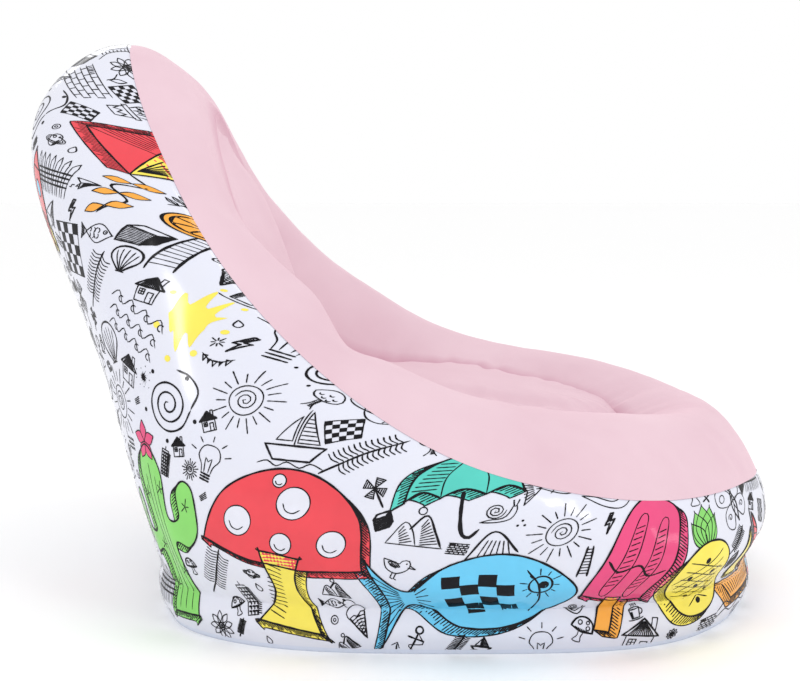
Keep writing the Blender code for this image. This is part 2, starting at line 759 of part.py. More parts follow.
def arm(name, start, hinge, height, sheet):
    """A strap from one reach to a hinge line, with a round end on that line."""
    side = 1 if hinge > start else -1
    radius = sheet / 2
    outline = [(start, height - radius)]
    steps = 6
    for step in range(steps + 1):
        angle = -math.pi / 2 + math.pi * step / steps
        reach = hinge + side * radius * math.cos(angle)
        outline.append((reach, height + radius * math.sin(angle)))
    outline.append((start, height + radius))
    return slab(name, outline, STRAP_WIDTH)


def slab(name, outline, width):
    """A (reach, height) outline drawn out along the hinge axis, to both sides of the middle."""
    count = len(outline)
    points = []
    for side in (-1, 1):
        points += [(reach, side * width / 2, height) for reach, height in outline]
    faces = [tuple(range(count)), tuple(reversed(range(count, 2 * count)))]
    for i in range(count):
        j = (i + 1) % count
        faces.append((i, i + count, j + count, j))
    return mesh_of(name, points, faces)


def block(name, low_reach, high_reach, low, high, width):
    outline = [(low_reach, low), (high_reach, low), (high_reach, high), (low_reach, high)]
    return slab(name, outline, width)


def valve_heights():
    """Heights above the wall that several pieces of the valve share."""
    rim_low = SOCKET_TOP + FIT_GAP
    rim_high = rim_low + RIM_SHEET
    lip = rim_high + PORT_LIP
    cap_low = lip + FIT_GAP
    return rim_low, rim_high, lip, cap_low


def placed(mesh):
    """Moves a mesh from the valve's own frame to its place in the wall."""
    place = valve.matrix()
    for vertex in mesh.vertices:
        vertex.co = place @ vertex.co
    return mesh


def set_in_wall(piece, additions=()):
    """Joins a valve piece and its additions in the valve's own frame, then puts it in its place."""
    helpers = [helper(mesh.name, mesh) for mesh in additions]
    for addition in helpers:
        combine(piece, addition, "UNION")
    graph = bpy.context.evaluated_depsgraph_get()
    joined = bpy.data.meshes.new_from_object(piece.evaluated_get(graph))
    piece.modifiers.clear()
    piece.data = placed(joined)
    for addition in helpers:
        bpy.data.objects.remove(addition)
    return piece


def valve_patch():
    """The doubling ring welded on the wall round the valve."""
    low = WELD_GAP
    bore = SOCKET_BORE + SOCKET_WALL + FIT_GAP
    high = low + PATCH_SHEET
    outline = [(bore, low), (PATCH_RADIUS, low), (PATCH_RADIUS, high), (bore, high)]
    return set_in_wall(node("valve_patch", turned("valve_patch", outline), WEB))


def valve_base():
    """The socket: a flange welded inside the wall, and a tube that the stopper pushes into."""
    outside = SOCKET_BORE + SOCKET_WALL
    flange_top = -WALL_SHEET - WELD_GAP
    flange_low = flange_top - FLANGE_SHEET
    outline = [
        (SOCKET_BORE, -SOCKET_DEPTH), (outside, -SOCKET_DEPTH), (outside, flange_low),
        (FLANGE_RADIUS, flange_low), (FLANGE_RADIUS, flange_top), (outside, flange_top),
        (outside, SOCKET_TOP), (SOCKET_BORE, SOCKET_TOP),
    ]
    base = node("valve_base", turned("valve_base", outline), VALVE)
    lug = block(
        "base_lug", outside - STRAP_SINK, STOPPER_HINGE_REACH + LUG_REACH,
        SOCKET_TOP - LUG_SHEET, SOCKET_TOP, STRAP_WIDTH,
    )
    return set_in_wall(base, (lug,))


def stopper_hinge_height():
    return SOCKET_TOP + FIT_GAP + STRAP_SHEET / 2


def cap_hinge_height():
    return valve_heights()[3] + STRAP_SHEET / 2


def flap_hinge_height():
    return -PLUG_DEPTH - FIT_GAP - FLAP_SHEET / 2


def valve_stopper():
    """The wide plug with the pump port through it, and its strap to the socket."""
    rim_low, rim_high, lip, _ = valve_heights()
    plug = SOCKET_BORE - FIT_GAP
    port_outside = PORT_BORE + PORT_WALL
    groove_outside = plug - PLUG_TAPER - GROOVE_WALL
    groove_floor = -PLUG_DEPTH + GROOVE_FLOOR
    outline = [
        (PORT_BORE, -PLUG_DEPTH), (plug - PLUG_TAPER, -PLUG_DEPTH), (plug, rim_low),
        (RIM_RADIUS, rim_low), (RIM_RADIUS, rim_high), (groove_outside, rim_high),
        (groove_outside, groove_floor), (port_outside, groove_floor), (port_outside, lip),
        (PORT_BORE, lip),
    ]
    stopper = node("valve_stopper", turned("valve_stopper", outline), VALVE)
    strap = arm(
        "stopper_strap", RIM_RADIUS - STRAP_SINK, STOPPER_HINGE_REACH,
        stopper_hinge_height(), STRAP_SHEET,
    )
    lug_top = cap_hinge_height() - STRAP_SHEET / 2 - FIT_GAP
    lug = block(
        "stopper_lug", -CAP_HINGE_REACH - LUG_REACH, -CAP_HINGE_REACH + LUG_REACH,
        rim_high - STRAP_SINK, lug_top, STRAP_WIDTH,
    )
    return set_in_wall(stopper, (strap, lug))


def valve_cap():
    """The small cap that closes the pump port, with its strap and a pull tab."""
    cap_low = valve_heights()[3]
    boss = PORT_BORE - FIT_GAP
    boss_low = cap_low - CAP_BOSS_DEPTH
    hollow = boss - CAP_BOSS_TAPER - CAP_BOSS_WALL
    cap_high = cap_low + CAP_SHEET
    outline = [
        (0.0, cap_low), (hollow, cap_low), (hollow, boss_low), (boss - CAP_BOSS_TAPER, boss_low),
        (boss, cap_low), (CAP_RADIUS, cap_low), (CAP_RADIUS, cap_high), (0.0, cap_high),
    ]
    cap = node("valve_cap", turned_solid("valve_cap", outline), VALVE)
    strap = arm("cap_strap", -CAP_RADIUS + STRAP_SINK, -CAP_HINGE_REACH, cap_hinge_height(), STRAP_SHEET)
    tab = block(
        "cap_tab", CAP_RADIUS - STRAP_SINK, CAP_RADIUS + CAP_TAB, cap_low + STRAP_SHEET / 2,
        cap_low + STRAP_SHEET / 2 + STRAP_SHEET, CAP_TAB_WIDTH,
    )
    return set_in_wall(cap, (strap, tab))


def valve_flap():
    """The one-way flap under the pump port."""
    height = flap_hinge_height()
    half = FLAP_SHEET / 2
    low, high = height - half, height + half
    outline = [(0.0, low), (FLAP_RADIUS, low), (FLAP_RADIUS, high), (0.0, high)]
    flap = node("valve_flap", placed(turned_solid("valve_flap", outline)), VALVE)
    strap = arm("flap_strap", FLAP_RADIUS - STRAP_SINK, FLAP_HINGE_REACH, height, FLAP_SHEET)
    combine(flap, helper("flap_strap", placed(strap)), "UNION")
    return flap


def turned_solid(name, outline):
    """A (radius, height) outline that starts and ends on the valve's axis, spun round it."""
    rim = outline[1:-1]
    count = len(rim)
    points = [(0, 0, outline[0][1]), (0, 0, outline[-1][1])]
    for step in range(VALVE_SEGMENTS):
        angle = 2 * math.pi * step / VALVE_SEGMENTS
        points += [(r * math.cos(angle), r * math.sin(angle), h) for r, h in rim]
    faces = []
    for step in range(VALVE_SEGMENTS):
        here = 2 + step * count
        there = 2 + (step + 1) % VALVE_SEGMENTS * count
        faces.append((0, there, here))
        faces.append((1, here + count - 1, there + count - 1))
        for i in range(count - 1):
            faces.append((here + i, there + i, there + i + 1, here + i + 1))
    return mesh_of(name, points, faces)


clear_scene()
FLOCK = material("pink_flock", (0.86, 0.60, 0.67), 0.9)
PRINT = material("printed_vinyl", (0.86, 0.87, 0.93), 0.25)
BOTTOM = material("plain_vinyl", (0.80, 0.84, 0.90), 0.35)
WEB = material("web_vinyl", (0.85, 0.87, 0.90), 0.4)
VALVE = material("valve_vinyl", (0.88, 0.90, 0.93), 0.3)

skin = Skin()
near_lines = half_lines()
all_lines = near_lines + [2 * STATIONS - line for line in reversed(near_lines[1:-1])]
valve = ValveFrame()

top_panel()
walls = side_walls()
bottom_panel()
base_web()
seat_web()
back_web(walls)
valve_patch()
valve_base()
valve_stopper()
valve_cap()
valve_flap()

print("valve origin", [round(float(value), 5) for value in valve.origin])
print("valve out", [round(float(value), 5) for value in valve.out])
print("valve reach", [round(float(value), 5) for value in valve.reach])
print("valve hinge axis", [round(float(value), 5) for value in valve.axis])
for label, reach, height in (
    ("stopper hinge", STOPPER_HINGE_REACH, stopper_hinge_height()),
    ("cap hinge", -CAP_HINGE_REACH, cap_hinge_height()),
    ("flap hinge", FLAP_HINGE_REACH, flap_hinge_height()),
):
    print(label, [round(value, 5) for value in valve.matrix() @ Vector((reach, 0, height))])
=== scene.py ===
# %% [markdown]
# # An inflatable lounge chair, dressed
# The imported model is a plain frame: a flocked top, two printed sides, a flat bottom, webs and a valve.
# This file gives each of them its real surface. Every cell makes one thing and prints what it made.

# %% Open the frame
import math
from collections import namedtuple

import bmesh
import bpy
import numpy as np
from mathutils import Matrix, Vector
from mathutils.geometry import delaunay_2d_cdt


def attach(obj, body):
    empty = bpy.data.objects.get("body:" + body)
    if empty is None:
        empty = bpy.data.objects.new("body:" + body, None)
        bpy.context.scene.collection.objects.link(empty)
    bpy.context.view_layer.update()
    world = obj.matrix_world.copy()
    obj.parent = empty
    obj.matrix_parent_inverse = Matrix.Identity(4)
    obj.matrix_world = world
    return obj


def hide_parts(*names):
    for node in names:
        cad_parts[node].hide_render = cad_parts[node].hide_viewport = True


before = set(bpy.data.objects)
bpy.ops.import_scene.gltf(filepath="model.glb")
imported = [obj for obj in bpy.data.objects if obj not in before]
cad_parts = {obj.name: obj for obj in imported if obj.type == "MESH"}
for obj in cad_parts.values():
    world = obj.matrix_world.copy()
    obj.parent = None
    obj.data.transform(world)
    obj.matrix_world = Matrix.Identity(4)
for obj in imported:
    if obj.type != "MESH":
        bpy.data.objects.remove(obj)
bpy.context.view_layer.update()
MM = 0.001
LENGTH = 1133 * MM
WIDTH = 980 * MM
HEIGHT = 830 * MM

# %% [markdown]
# ## Camera
# The photograph is a level product shot from the side, taken from a little above. A long lens at
# 2.4 m gives the same small difference in size between the near and the far side. The lens is
# worked out from the focal length in pixels, so that the chair fills the same part of the picture.

# %% Camera
PHOTO_WIDTH = 800
FOCAL_PIXELS = 1504.8
SENSOR = 36.0
CAMERA_TARGET = Vector((0.0015, 0, 0.36686))
CAMERA_DISTANCE = 2.4
CAMERA_ELEVATION = math.radians(8)


def new_object(name, data):
    """An object that shows the data, put into the scene."""
    made = bpy.data.objects.new(name, data)
    bpy.context.scene.collection.objects.link(made)
    return made


camera_data = bpy.data.cameras.new("photo_camera")
camera_data.sensor_width = SENSOR
camera_data.lens = FOCAL_PIXELS / PHOTO_WIDTH * SENSOR
camera = new_object("photo_camera", camera_data)
towards_camera = Vector((0, -math.cos(CAMERA_ELEVATION), math.sin(CAMERA_ELEVATION)))
camera.location = CAMERA_TARGET + towards_camera * CAMERA_DISTANCE
camera.rotation_euler = (-towards_camera).to_track_quat("-Z", "Y").to_euler()
bpy.context.scene.camera = camera
print("lens", round(camera_data.lens, 2), "mm")

# %% [markdown]
# ## Numbers in a material
# A wrinkle or a speckle is a sum of a few patterns. Blender writes each plus and times as a node,
# which is slow to read as code. This small class holds one socket and lets Python's own signs add
# the Math nodes, so a formula stays a formula.


# %% Shader maths and one way to add a node
def socket_named(sockets, name):
    """A socket by its identifier, which tells a Mix node's colour inputs apart, or by its name."""
    for socket in sockets:
        if socket.identifier == name:
            return socket
    return sockets[name]


class Amount:
    """What a node gives, such as a number that changes over a surface."""

    def __init__(self, nodes, socket):
        self.nodes = nodes
        self.socket = socket

    def sibling(self, output):
        """Another output of the same node."""
        return Amount(self.nodes, self.socket.node.outputs[output])

    def math(self, operation, *values):
        settings = {"operation": operation}
        return self.nodes.node("ShaderNodeMath", settings, dict(enumerate(values)), "Value")

    def __add__(self, other):
        return self.math("ADD", self, other)

    def __mul__(self, other):
        return self.math("MULTIPLY", self, other)

    def between(self, low, high):
        """0 below low, 1 above high and straight between them."""
        settings = {"clamp": True}
        inputs = {"Value": self, "From Min": low, "From Max": high}
        return self.nodes.node("ShaderNodeMapRange", settings, inputs, "Result")


class Nodes:
    """A node tree, and the one method that adds nodes to it."""

    def __init__(self, tree):
        self.tree = tree

    def node(self, kind, settings, inputs, output):
        """Adds a node, sets it, feeds its sockets and returns one of its outputs."""
        made = self.tree.nodes.new(kind)
        for label, value in settings.items():
            setattr(made, label, value)
        for label, value in inputs.items():
            socket = made.inputs[label] if isinstance(label, int) else socket_named(made.inputs, label)
            self.feed(socket, value)
        return Amount(self, socket_named(made.outputs, output))

    def feed(self, socket, value):
        if isinstance(value, Amount):
            self.tree.links.new(value.socket, socket)
        else:
            socket.default_value = value


class Finish(Nodes):
    """A material with one Principled shader."""

    def __init__(self, name, **constants):
        self.material = bpy.data.materials.new(name)
        self.material.use_nodes = True
        super().__init__(self.material.node_tree)
        self.shader = self.tree.nodes["Principled BSDF"]
        for words, value in constants.items():
            label = words.replace("_", " ").title().replace("Ior", "IOR")
            self.shader.inputs[label].default_value = value

    def set(self, label, value):
        self.feed(self.shader.inputs[label], value)

    def noise(self, scale, detail, roughness):
        """Soft random cloud from 0 to 1. Scale is patches per metre."""
        place = self.node("ShaderNodeTexCoord", {}, {}, "Object")
        inputs = {"Vector": place, "Scale": scale, "Detail": detail, "Roughness": roughness}
        return self.node("ShaderNodeTexNoise", {}, inputs, "Fac")

    def mix(self, factor, first, second):
        """A colour between two others."""
        settings = {"data_type": "RGBA"}
        inputs = {"Factor_Float": factor, "A_Color": first, "B_Color": second}
        return self.node("ShaderNodeMix", settings, inputs, "Result_Color")

    def bump(self, height, distance, strength):
        inputs = {"Height": height, "Distance": distance, "Strength": strength}
        self.set("Normal", self.node("ShaderNodeBump", {}, inputs, "Normal"))


def colour(red, green, blue):
    """A colour as seen on screen, 0 to 255, as the light values that a shader takes."""
    levels = [value / 255 for value in (red, green, blue)]
    light = [((v + 0.055) / 1.055) ** 2.4 if v > 0.04045 else v / 12.92 for v in levels]
    return (*light, 1.0)


# %% [markdown]
# ## Floor and light
# A pale floor and a pale sky light the chair evenly from all sides. Five softboxes shape it: a tall
# narrow one over the camera's left shoulder draws the long streak on the vinyl, one at its right adds
# a spark on the front bulge, and the other three lift the flock, the front and the back.

# %% Floor, sky and lights
FLOOR_REACH = 12.0
SKY_COLOUR = colour(255, 255, 255)
SKY_STRENGTH = 1.0

floor_mesh = bpy.data.meshes.new("floor")
corners = [(x * FLOOR_REACH, y * FLOOR_REACH, 0) for x, y in ((-1, -1), (1, -1), (1, 1), (-1, 1))]
floor_mesh.from_pydata(corners, [], [(0, 1, 2, 3)])
floor = new_object("floor", floor_mesh)
floor_finish = Finish("pale_floor", roughness=0.7)
floor_finish.set("Base Color", colour(254, 254, 254))
floor_mesh.materials.append(floor_finish.material)

sky = bpy.data.worlds.new("pale_sky")
sky.use_nodes = True
background = sky.node_tree.nodes["Background"]
background.inputs["Color"].default_value = SKY_COLOUR
background.inputs["Strength"].default_value = SKY_STRENGTH
bpy.context.scene.world = sky
bpy.context.scene.view_settings.view_transform = "Standard"
CHAIR_MIDDLE = Vector((0, 0, 0.35))
SOFTBOXES = (  # name, place and size in metres, watts
    ("key", (-2.72, -2.25, 1.25), (0.24, 0.95), 14),
    ("spark", (1.7, -2.6, 2.05), (0.62, 0.42), 12),
    ("top", (0.5, -0.6, 2.6), (1.0, 0.6), 7),
    ("front", (2.6, -1.4, 1.1), (0.3, 1.2), 4),
    ("back", (-1.2, 2.6, 1.9), (1.6, 0.5), 6),
)
for name, place, size, watts in SOFTBOXES:
    softbox = bpy.data.lights.new(name, "AREA")
    softbox.shape = "RECTANGLE"
    softbox.size, softbox.size_y = size
    softbox.energy = watts
    light = new_object(name, softbox)
    light.location = place
    light.rotation_euler = (Vector(place) - CHAIR_MIDDLE).to_track_quat("Z", "Y").to_euler()
print("lights", [obj.name for obj in bpy.data.objects if obj.type == "LIGHT"])

# %% [markdown]
# ## The blown-up skin
# An inflatable has no frame, so its shape is where the sheets are welded and how far they swell
# between the welds. Eleven rings go round the chair. Each is a closed curve through 24 stations,
# half of them mirrored, and the skin is a spline from ring to ring, broken only at the two welds
# that pinch it: the valley round the seat, and the crease just above the floor.

# %% Rings
SPINE, BULGE, VALLEY, RIDGE, SEAM, SHOULDER, BELLY, HIP, CREASE, FOOT, EDGE = range(11)

# A ring is its stations on the near side, from the front middle to the back middle, in thousandths
# of LENGTH, of half WIDTH and of HEIGHT.
RING_SHARES = (
    (
        (231, 0, 340), (224, 0, 342), (206, 0, 347), (173, 0, 359), (129, 0, 370), (76, 0, 380),
        (1, 0, 387), (-63, 0, 406), (-121, 0, 488), (-162, 0, 629), (-192, 0, 733), (-225, 0, 798),
        (-236, 0, 829),
    ),
    (
        (284, 0, 322), (275, 86, 326), (248, 159, 336), (201, 208, 348), (145, 237, 360),
        (83, 249, 374), (-1, 249, 379), (-72, 245, 400), (-135, 231, 485), (-181, 208, 629),
        (-213, 171, 735), (-244, 106, 807), (-253, 0, 843),
    ),
    (
        (318, 0, 285), (306, 147, 289), (275, 261, 302), (222, 343, 320), (160, 394, 339),
        (91, 414, 357), (1, 414, 360), (-81, 408, 382), (-149, 392, 471), (-195, 359, 620),
        (-227, 298, 731), (-250, 180, 829), (-258.5, 0, 872),
    ),
    (
        (434, 0, 319), (423, 229, 323), (388, 429, 331), (323, 584, 346), (236, 669, 363),
        (143, 698, 386), (51, 694, 424), (-34, 661, 488), (-106, 608, 564), (-171, 524, 658),
        (-230, 402, 777), (-275, 233, 912), (-299, 0, 960),
    ),
    (
        (488, 0, 223), (481, 265, 225), (444, 510, 237), (381, 724, 245), (291, 881, 257),
        (180, 954, 285), (63, 947, 333), (-56, 889, 426), (-161, 796, 550), (-237, 675, 676),
        (-290, 527, 795), (-338, 306, 916), (-364, 0, 999.4),
    ),
    (
        (500, 0, 181), (488, 306, 183), (446, 586, 189), (376, 816, 200), (284, 943, 216),
        (165, 992, 243), (44, 980, 295), (-87, 918, 388), (-204, 816, 506), (-308, 663, 641),
        (-396, 480, 777), (-457, 265, 876), (-480, 0, 908),
    ),
    (
        (496, 0, 145), (484, 316, 146), (444, 612, 148), (376, 845, 155), (277, 967, 170),
        (147, 998, 190), (28, 994, 227), (-109, 955, 289), (-226, 853, 380), (-318, 704, 464),
        (-385, 500, 527), (-433, 265, 564), (-458, 0, 578),
    ),
    (
        (478, 0, 111), (467, 316, 111), (429, 606, 112), (361, 831, 116), (261, 940, 122),
        (135, 969, 130), (10, 966, 140), (-118, 935, 154), (-224, 862, 175), (-290, 739, 193),
        (-327, 535, 207), (-346, 286, 217), (-356, 0, 220),
    ),
)
FOOT_PLAN_SHARES = (
    (474, 0), (470, 271), (440, 535), (363, 765), (259, 875), (138, 901), (19, 901), (-98, 882),
    (-195, 817), (-268, 697), (-306, 520), (-322, 265), (-326, 0),
)
STATIONS = len(FOOT_PLAN_SHARES) - 1
CREASE_HEIGHT = 66 * MM
CREASE_INSET = 5 * MM
FOOT_HEIGHT = 34 * MM
EDGE_INSET = 15 * MM
EDGE_LIFT = 0.8 * MM
SLOPE_STEP = 0.02  # stations
TINY = 1e-12
SMALL = 1e-6


def unit(vectors):
    """The same directions with a length of 1."""
    return vectors / np.maximum(np.linalg.norm(vectors, axis=-1, keepdims=True), TINY)


class Ring:
    """A closed curve round the chair, mirrored from the stations of its near side."""

    def __init__(self, near):
        near = np.asarray(near, float)
        self.points = np.vstack([near, near[-2:0:-1] * (1, -1, 1)])
        count = len(self.points)
        rows = 4 * np.eye(count) + np.roll(np.eye(count), 1, 0) + np.roll(np.eye(count), -1, 0)
        bend = np.roll(self.points, 1, 0) - 2 * self.points + np.roll(self.points, -1, 0)
        self.bends = np.linalg.solve(rows, 6 * bend)

    def at(self, stations):
        start = np.floor(stations).astype(int)
        b = (stations - start)[:, None]
        a = 1 - b
        i, j = start % len(self.points), (start + 1) % len(self.points)
        lift = ((a**3 - a) * self.bends[i] + (b**3 - b) * self.bends[j]) / 6
        return a * self.points[i] + b * self.points[j] + lift


def foot_ring(height, inset):
    """The plan of the lower bulge, drawn in by an inset and set at a height."""
    plan = Ring([(x / 1000 * LENGTH, -y / 1000 * WIDTH / 2, height) for x, y in FOOT_PLAN_SHARES])
    stations = np.arange(STATIONS + 1.0)
    along = plan.at(stations + SLOPE_STEP) - plan.at(stations - SLOPE_STEP)
    inwards = unit(np.stack([along[:, 1], -along[:, 0], np.zeros(len(along))], axis=1))
    points = plan.at(stations) + inwards * inset
    points[[0, -1], 1] = 0
    return Ring(points)


rings = [Ring(np.array(ring) / 1000 * (LENGTH, -WIDTH / 2, HEIGHT)) for ring in RING_SHARES]
rings.append(foot_ring(CREASE_HEIGHT, CREASE_INSET))
rings.append(foot_ring(FOOT_HEIGHT, 0.0))
rings.append(foot_ring(EDGE_LIFT, EDGE_INSET))
print(len(rings), "rings of", len(rings[0].points), "stations")

# %% [markdown]
# ## Places round the chair
# The print on the sides needs a place for every mark, as on paper. Across, a place is the distance
# walked round the widest ring from the middle of the back, past the near side, to the front, and
# home by the far side. Up, it is the distance along the skin from the floor.

# %% Distance round the chair
WALK_POINTS = 4801


def arc_length(points):
    """How far each point lies from the first, along the line or lines down an array's first axis."""
    steps = np.linalg.norm(np.diff(points, axis=0), axis=-1)
    return np.concatenate([np.zeros((1, *steps.shape[1:])), np.cumsum(steps, axis=0)])


walk_stations = STATIONS - np.linspace(0, 2 * STATIONS, WALK_POINTS)
walk = arc_length(rings[BELLY].at(walk_stations)[:, :2])
AROUND = walk[-1]
HALF_AROUND = AROUND / 2


def stations_at(places):
    """Stations for distances round the chair. Distances past either end carry on round."""
    turns = np.floor(places / AROUND)
    return np.interp(places - turns * AROUND, walk, walk_stations) - turns * 2 * STATIONS


print("once round the chair is", round(AROUND, 3), "m")


# %% Profiles from ring to ring
def natural_bends(points, knots):
    """Second slopes of the cubic splines through rows of points, all rows at once."""
    steps = np.diff(knots)
    lines, stops = knots.shape
    rows = np.zeros((lines, stops, stops))
    right = np.zeros_like(points)
    rows[:, 0, 0] = rows[:, -1, -1] = 1
    for i in range(1, stops - 1):
        rows[:, i, i - 1] = steps[:, i - 1]
        rows[:, i, i] = 2 * (steps[:, i - 1] + steps[:, i])
        rows[:, i, i + 1] = steps[:, i]
        rise = (points[:, i + 1] - points[:, i]) / steps[:, i, None]
        fall = (points[:, i] - points[:, i - 1]) / steps[:, i - 1, None]
        right[:, i] = 6 * (rise - fall)
    return np.linalg.solve(rows, right)


class Profiles:
    """The skin along a fan of lines, one for each station, from the spine down to the floor."""

    def __init__(self, stations):
        stops = [ring.at(stations) for ring in rings]
        over = [stops[level] * (1, -1, 1) for level in (VALLEY, BULGE)]
        self.runs = [
            self.run(SPINE - 2, over + stops[SPINE : VALLEY + 1]),
            self.run(VALLEY, stops[VALLEY : CREASE + 1]),
            self.run(CREASE, stops[CREASE : EDGE + 1]),
        ]

    def run(self, first, stops):
        points = np.stack(stops, axis=1)
        knots = arc_length(np.stack(stops)).T
        return first, points, knots, natural_bends(points, knots)

    def row(self, level, run_number):
        """The points of all lines at a level, read from one of the three runs."""
        first, points, knots, bends = self.runs[run_number]
        i = min(int(level - first), knots.shape[1] - 2)
        b = level - first - i
        a = 1 - b
        step = (knots[:, i + 1] - knots[:, i])[:, None]
        lift = ((a**3 - a) * bends[:, i] + (b**3 - b) * bends[:, i + 1]) * step**2 / 6
        return a * points[:, i] + b * points[:, i + 1] + lift

    def rows(self, start, end, run_number, count):
        return np.stack([self.row(level, run_number) for level in np.linspace(start, end, count)])


def rows_at(rows, arcs, wanted):
    """Points of each line at the wanted distances along it."""
    lines = range(rows.shape[1])
    cells = [
        [np.interp(wanted[:, line], arcs[:, line], rows[:, line, axis]) for axis in range(3)]
        for line in lines
    ]
    return np.array(cells).transpose(2, 0, 1)


def outward_normals(points, wraps):
    """Unit normals of a grid whose rows run down the chair and whose lines run round it."""
    if wraps:
        along = np.roll(points, -1, 1) - np.roll(points, 1, 1)
    else:
        along = np.gradient(points, axis=1)
    return unit(np.cross(np.gradient(points, axis=0), along))


# %% [markdown]
# ## Wrinkles
# Vinyl stretches little, so where a curved weld gathers it, the sheet puckers: short folds square
# to the weld that are deepest a finger's width away and gone a hand's width away. Between the welds
# it swells into broad, faint facets. Both are sums of waves with fixed random directions.


# %% Waves for wrinkles
WAVE_PEAK = 1.4


def summed(angles):
    """One value from many waves, mostly between -1 and 1."""
    return np.cos(angles).sum(-1) * math.sqrt(2 / angles.shape[-1]) / WAVE_PEAK


class Waves:
    """A smooth random field in space with one rough wavelength."""

    def __init__(self, seed, wavelength, count=28):
        random = np.random.default_rng(seed)
        directions = unit(random.standard_normal((count, 3)))
        spread = random.uniform(0.75, 1.35, count)[:, None]
        self.ways = directions * spread * 2 * math.pi / wavelength
        self.starts = random.uniform(0, 2 * math.pi, count)

    def at(self, points):
        angles = points.reshape(-1, 3) @ self.ways.T + self.starts
        return summed(angles).reshape(points.shape[:-1])


class Ripples:
    """Random waves along a line: the same at every distance from it, and closed round the chair."""

    def __init__(self, seed, wavelength, count=16):
        random = np.random.default_rng(seed)
        middle = AROUND / wavelength
        self.turns = np.round(random.uniform(0.7 * middle, 1.4 * middle, count))
        self.starts = random.uniform(0, 2 * math.pi, count)

    def at(self, places):
        return summed(places[..., None] * self.turns * 2 * math.pi / AROUND + self.starts)


def puckers(rows, places, distance):
    """Ripples that are 0 on a weld, highest at a peak distance from it, and fade beyond."""
    total = 0
    for seed, wavelength, peak, height in rows:
        share = np.maximum(distance, 0) / (peak * MM)
        total = total + Ripples(seed, wavelength * MM).at(places) * share * np.exp(1 - share) * height * MM
    return total


def smooth_step(value, low, high):
    share = np.clip((value - low) / (high - low), 0, 1)
    return share * share * (3 - 2 * share)


# %% [markdown]
# ## Sheets
# Every panel is a real sheet with two sides and a rim, so that its cut edge shows where it overlaps
# its neighbour. One function turns a grid of points and normals into such a closed sheet. A grid
# that goes once round the chair closes on itself.


# %% A sheet with two sides
MERGE = 0.02 * MM


def sheet_faces(rows, lines, wraps, rims):
    """Faces on a grid of outer points and the same grid of inner points, and between them at rims."""
    shift = rows * lines
    faces = []
    for line in range(lines if wraps else lines - 1):
        after = (line + 1) % lines
        for row in range(rows - 1):
            a, b = row * lines + line, row * lines + after
            faces.append((a, a + lines, b + lines, b))
            faces.append((a + shift, b + shift, b + lines + shift, a + lines + shift))
        for row in rims:
            a, b = row * lines + line, row * lines + after
            faces.append((a, b, b + shift, a + shift))
    if not wraps:
        for line in (0, lines - 1):
            for row in range(rows - 1):
                a, b = row * lines + line, (row + 1) * lines + line
                faces.append((a, b, b + shift, a + shift))
    return faces


def new_piece(name, points, faces):
    mesh = bpy.data.meshes.new(name)
    mesh.from_pydata(points.reshape(-1, 3).tolist(), [], faces)
    return new_object(name, mesh)


def sheet(name, outer, normals, thickness, wraps, open_rows, attributes=()):
    """A closed sheet with a rim along its open rows. Attributes are grids kept on its points."""
    rows, lines = outer.shape[:2]
    inner = outer - normals * thickness
    rims = [row % rows for row in open_rows]
    piece = new_piece(name, np.stack([outer, inner]), sheet_faces(rows, lines, wraps, rims))
    for label, values in attributes:
        kind = "FLOAT_VECTOR" if values.ndim == 3 else "FLOAT"
        layer = piece.data.attributes.new(label, kind, "POINT")
        both = np.stack([values, values]).astype(np.float32).ravel()
        layer.data.foreach_set("vector" if values.ndim == 3 else "value", both)
    return piece


def close_up(piece, smooth_angle=math.radians(50)):
    """Joins doubled points, turns every face outwards and shades the piece smooth."""
    shape = bmesh.new()
    shape.from_mesh(piece.data)
    bmesh.ops.remove_doubles(shape, verts=shape.verts, dist=MERGE)
    bmesh.ops.recalc_face_normals(shape, faces=shape.faces)
    if shape.calc_volume(signed=True) < 0:
        bmesh.ops.reverse_faces(shape, faces=shape.faces)
    open_edges = sum(not edge.is_manifold for edge in shape.edges)
    shape.to_mesh(piece.data)
    shape.free()
    piece.data.shade_smooth()
    piece.data.set_sharp_from_angle(angle=smooth_angle)
    print(piece.name, len(piece.data.polygons), "faces,", open_edges, "open edges")


# %% [markdown]
# ## Flocked top
# The top panel is vinyl with short nylon fibres glued on it. It rises from the valley to the ridge
# round the seat and falls to the side seam, and inside the valley it swells into one long cushion
# from the seat to the headrest. Both welds pucker it a little.

# %% Top panel
TOP_SHEET = 0.9 * MM
TOP_LINES = 480
INSIDE_ROWS = 36
OUTSIDE_ROWS = 52
FINE_ROWS = 160  # from which rows at even distances are read

top_places = np.arange(TOP_LINES) * AROUND / TOP_LINES
top_profiles = Profiles(stations_at(top_places))
inside = top_profiles.rows(SPINE, VALLEY, 0, FINE_ROWS)
outside = top_profiles.rows(VALLEY, SEAM, 1, FINE_ROWS)
inside_arc, outside_arc = arc_length(inside), arc_length(outside)
inside_wanted = inside_arc[-1] * np.linspace(0, 1, INSIDE_ROWS + 1)[:, None]
outside_wanted = outside_arc[-1] * np.linspace(0, 1, OUTSIDE_ROWS + 1)[1:, None]
top_points = np.concatenate(
    [rows_at(inside, inside_arc, inside_wanted), rows_at(outside, outside_arc, outside_wanted)]
)
to_valley = np.concatenate([inside_arc[-1] - inside_wanted, outside_wanted])
from_spine = np.concatenate([inside_wanted, outside_wanted + inside_arc[-1]])
to_side_seam = inside_arc[-1] + outside_arc[-1] - from_spine
print("top panel grid", top_points.shape[:2], "widest", round(float(to_side_seam.max()), 3), "m")


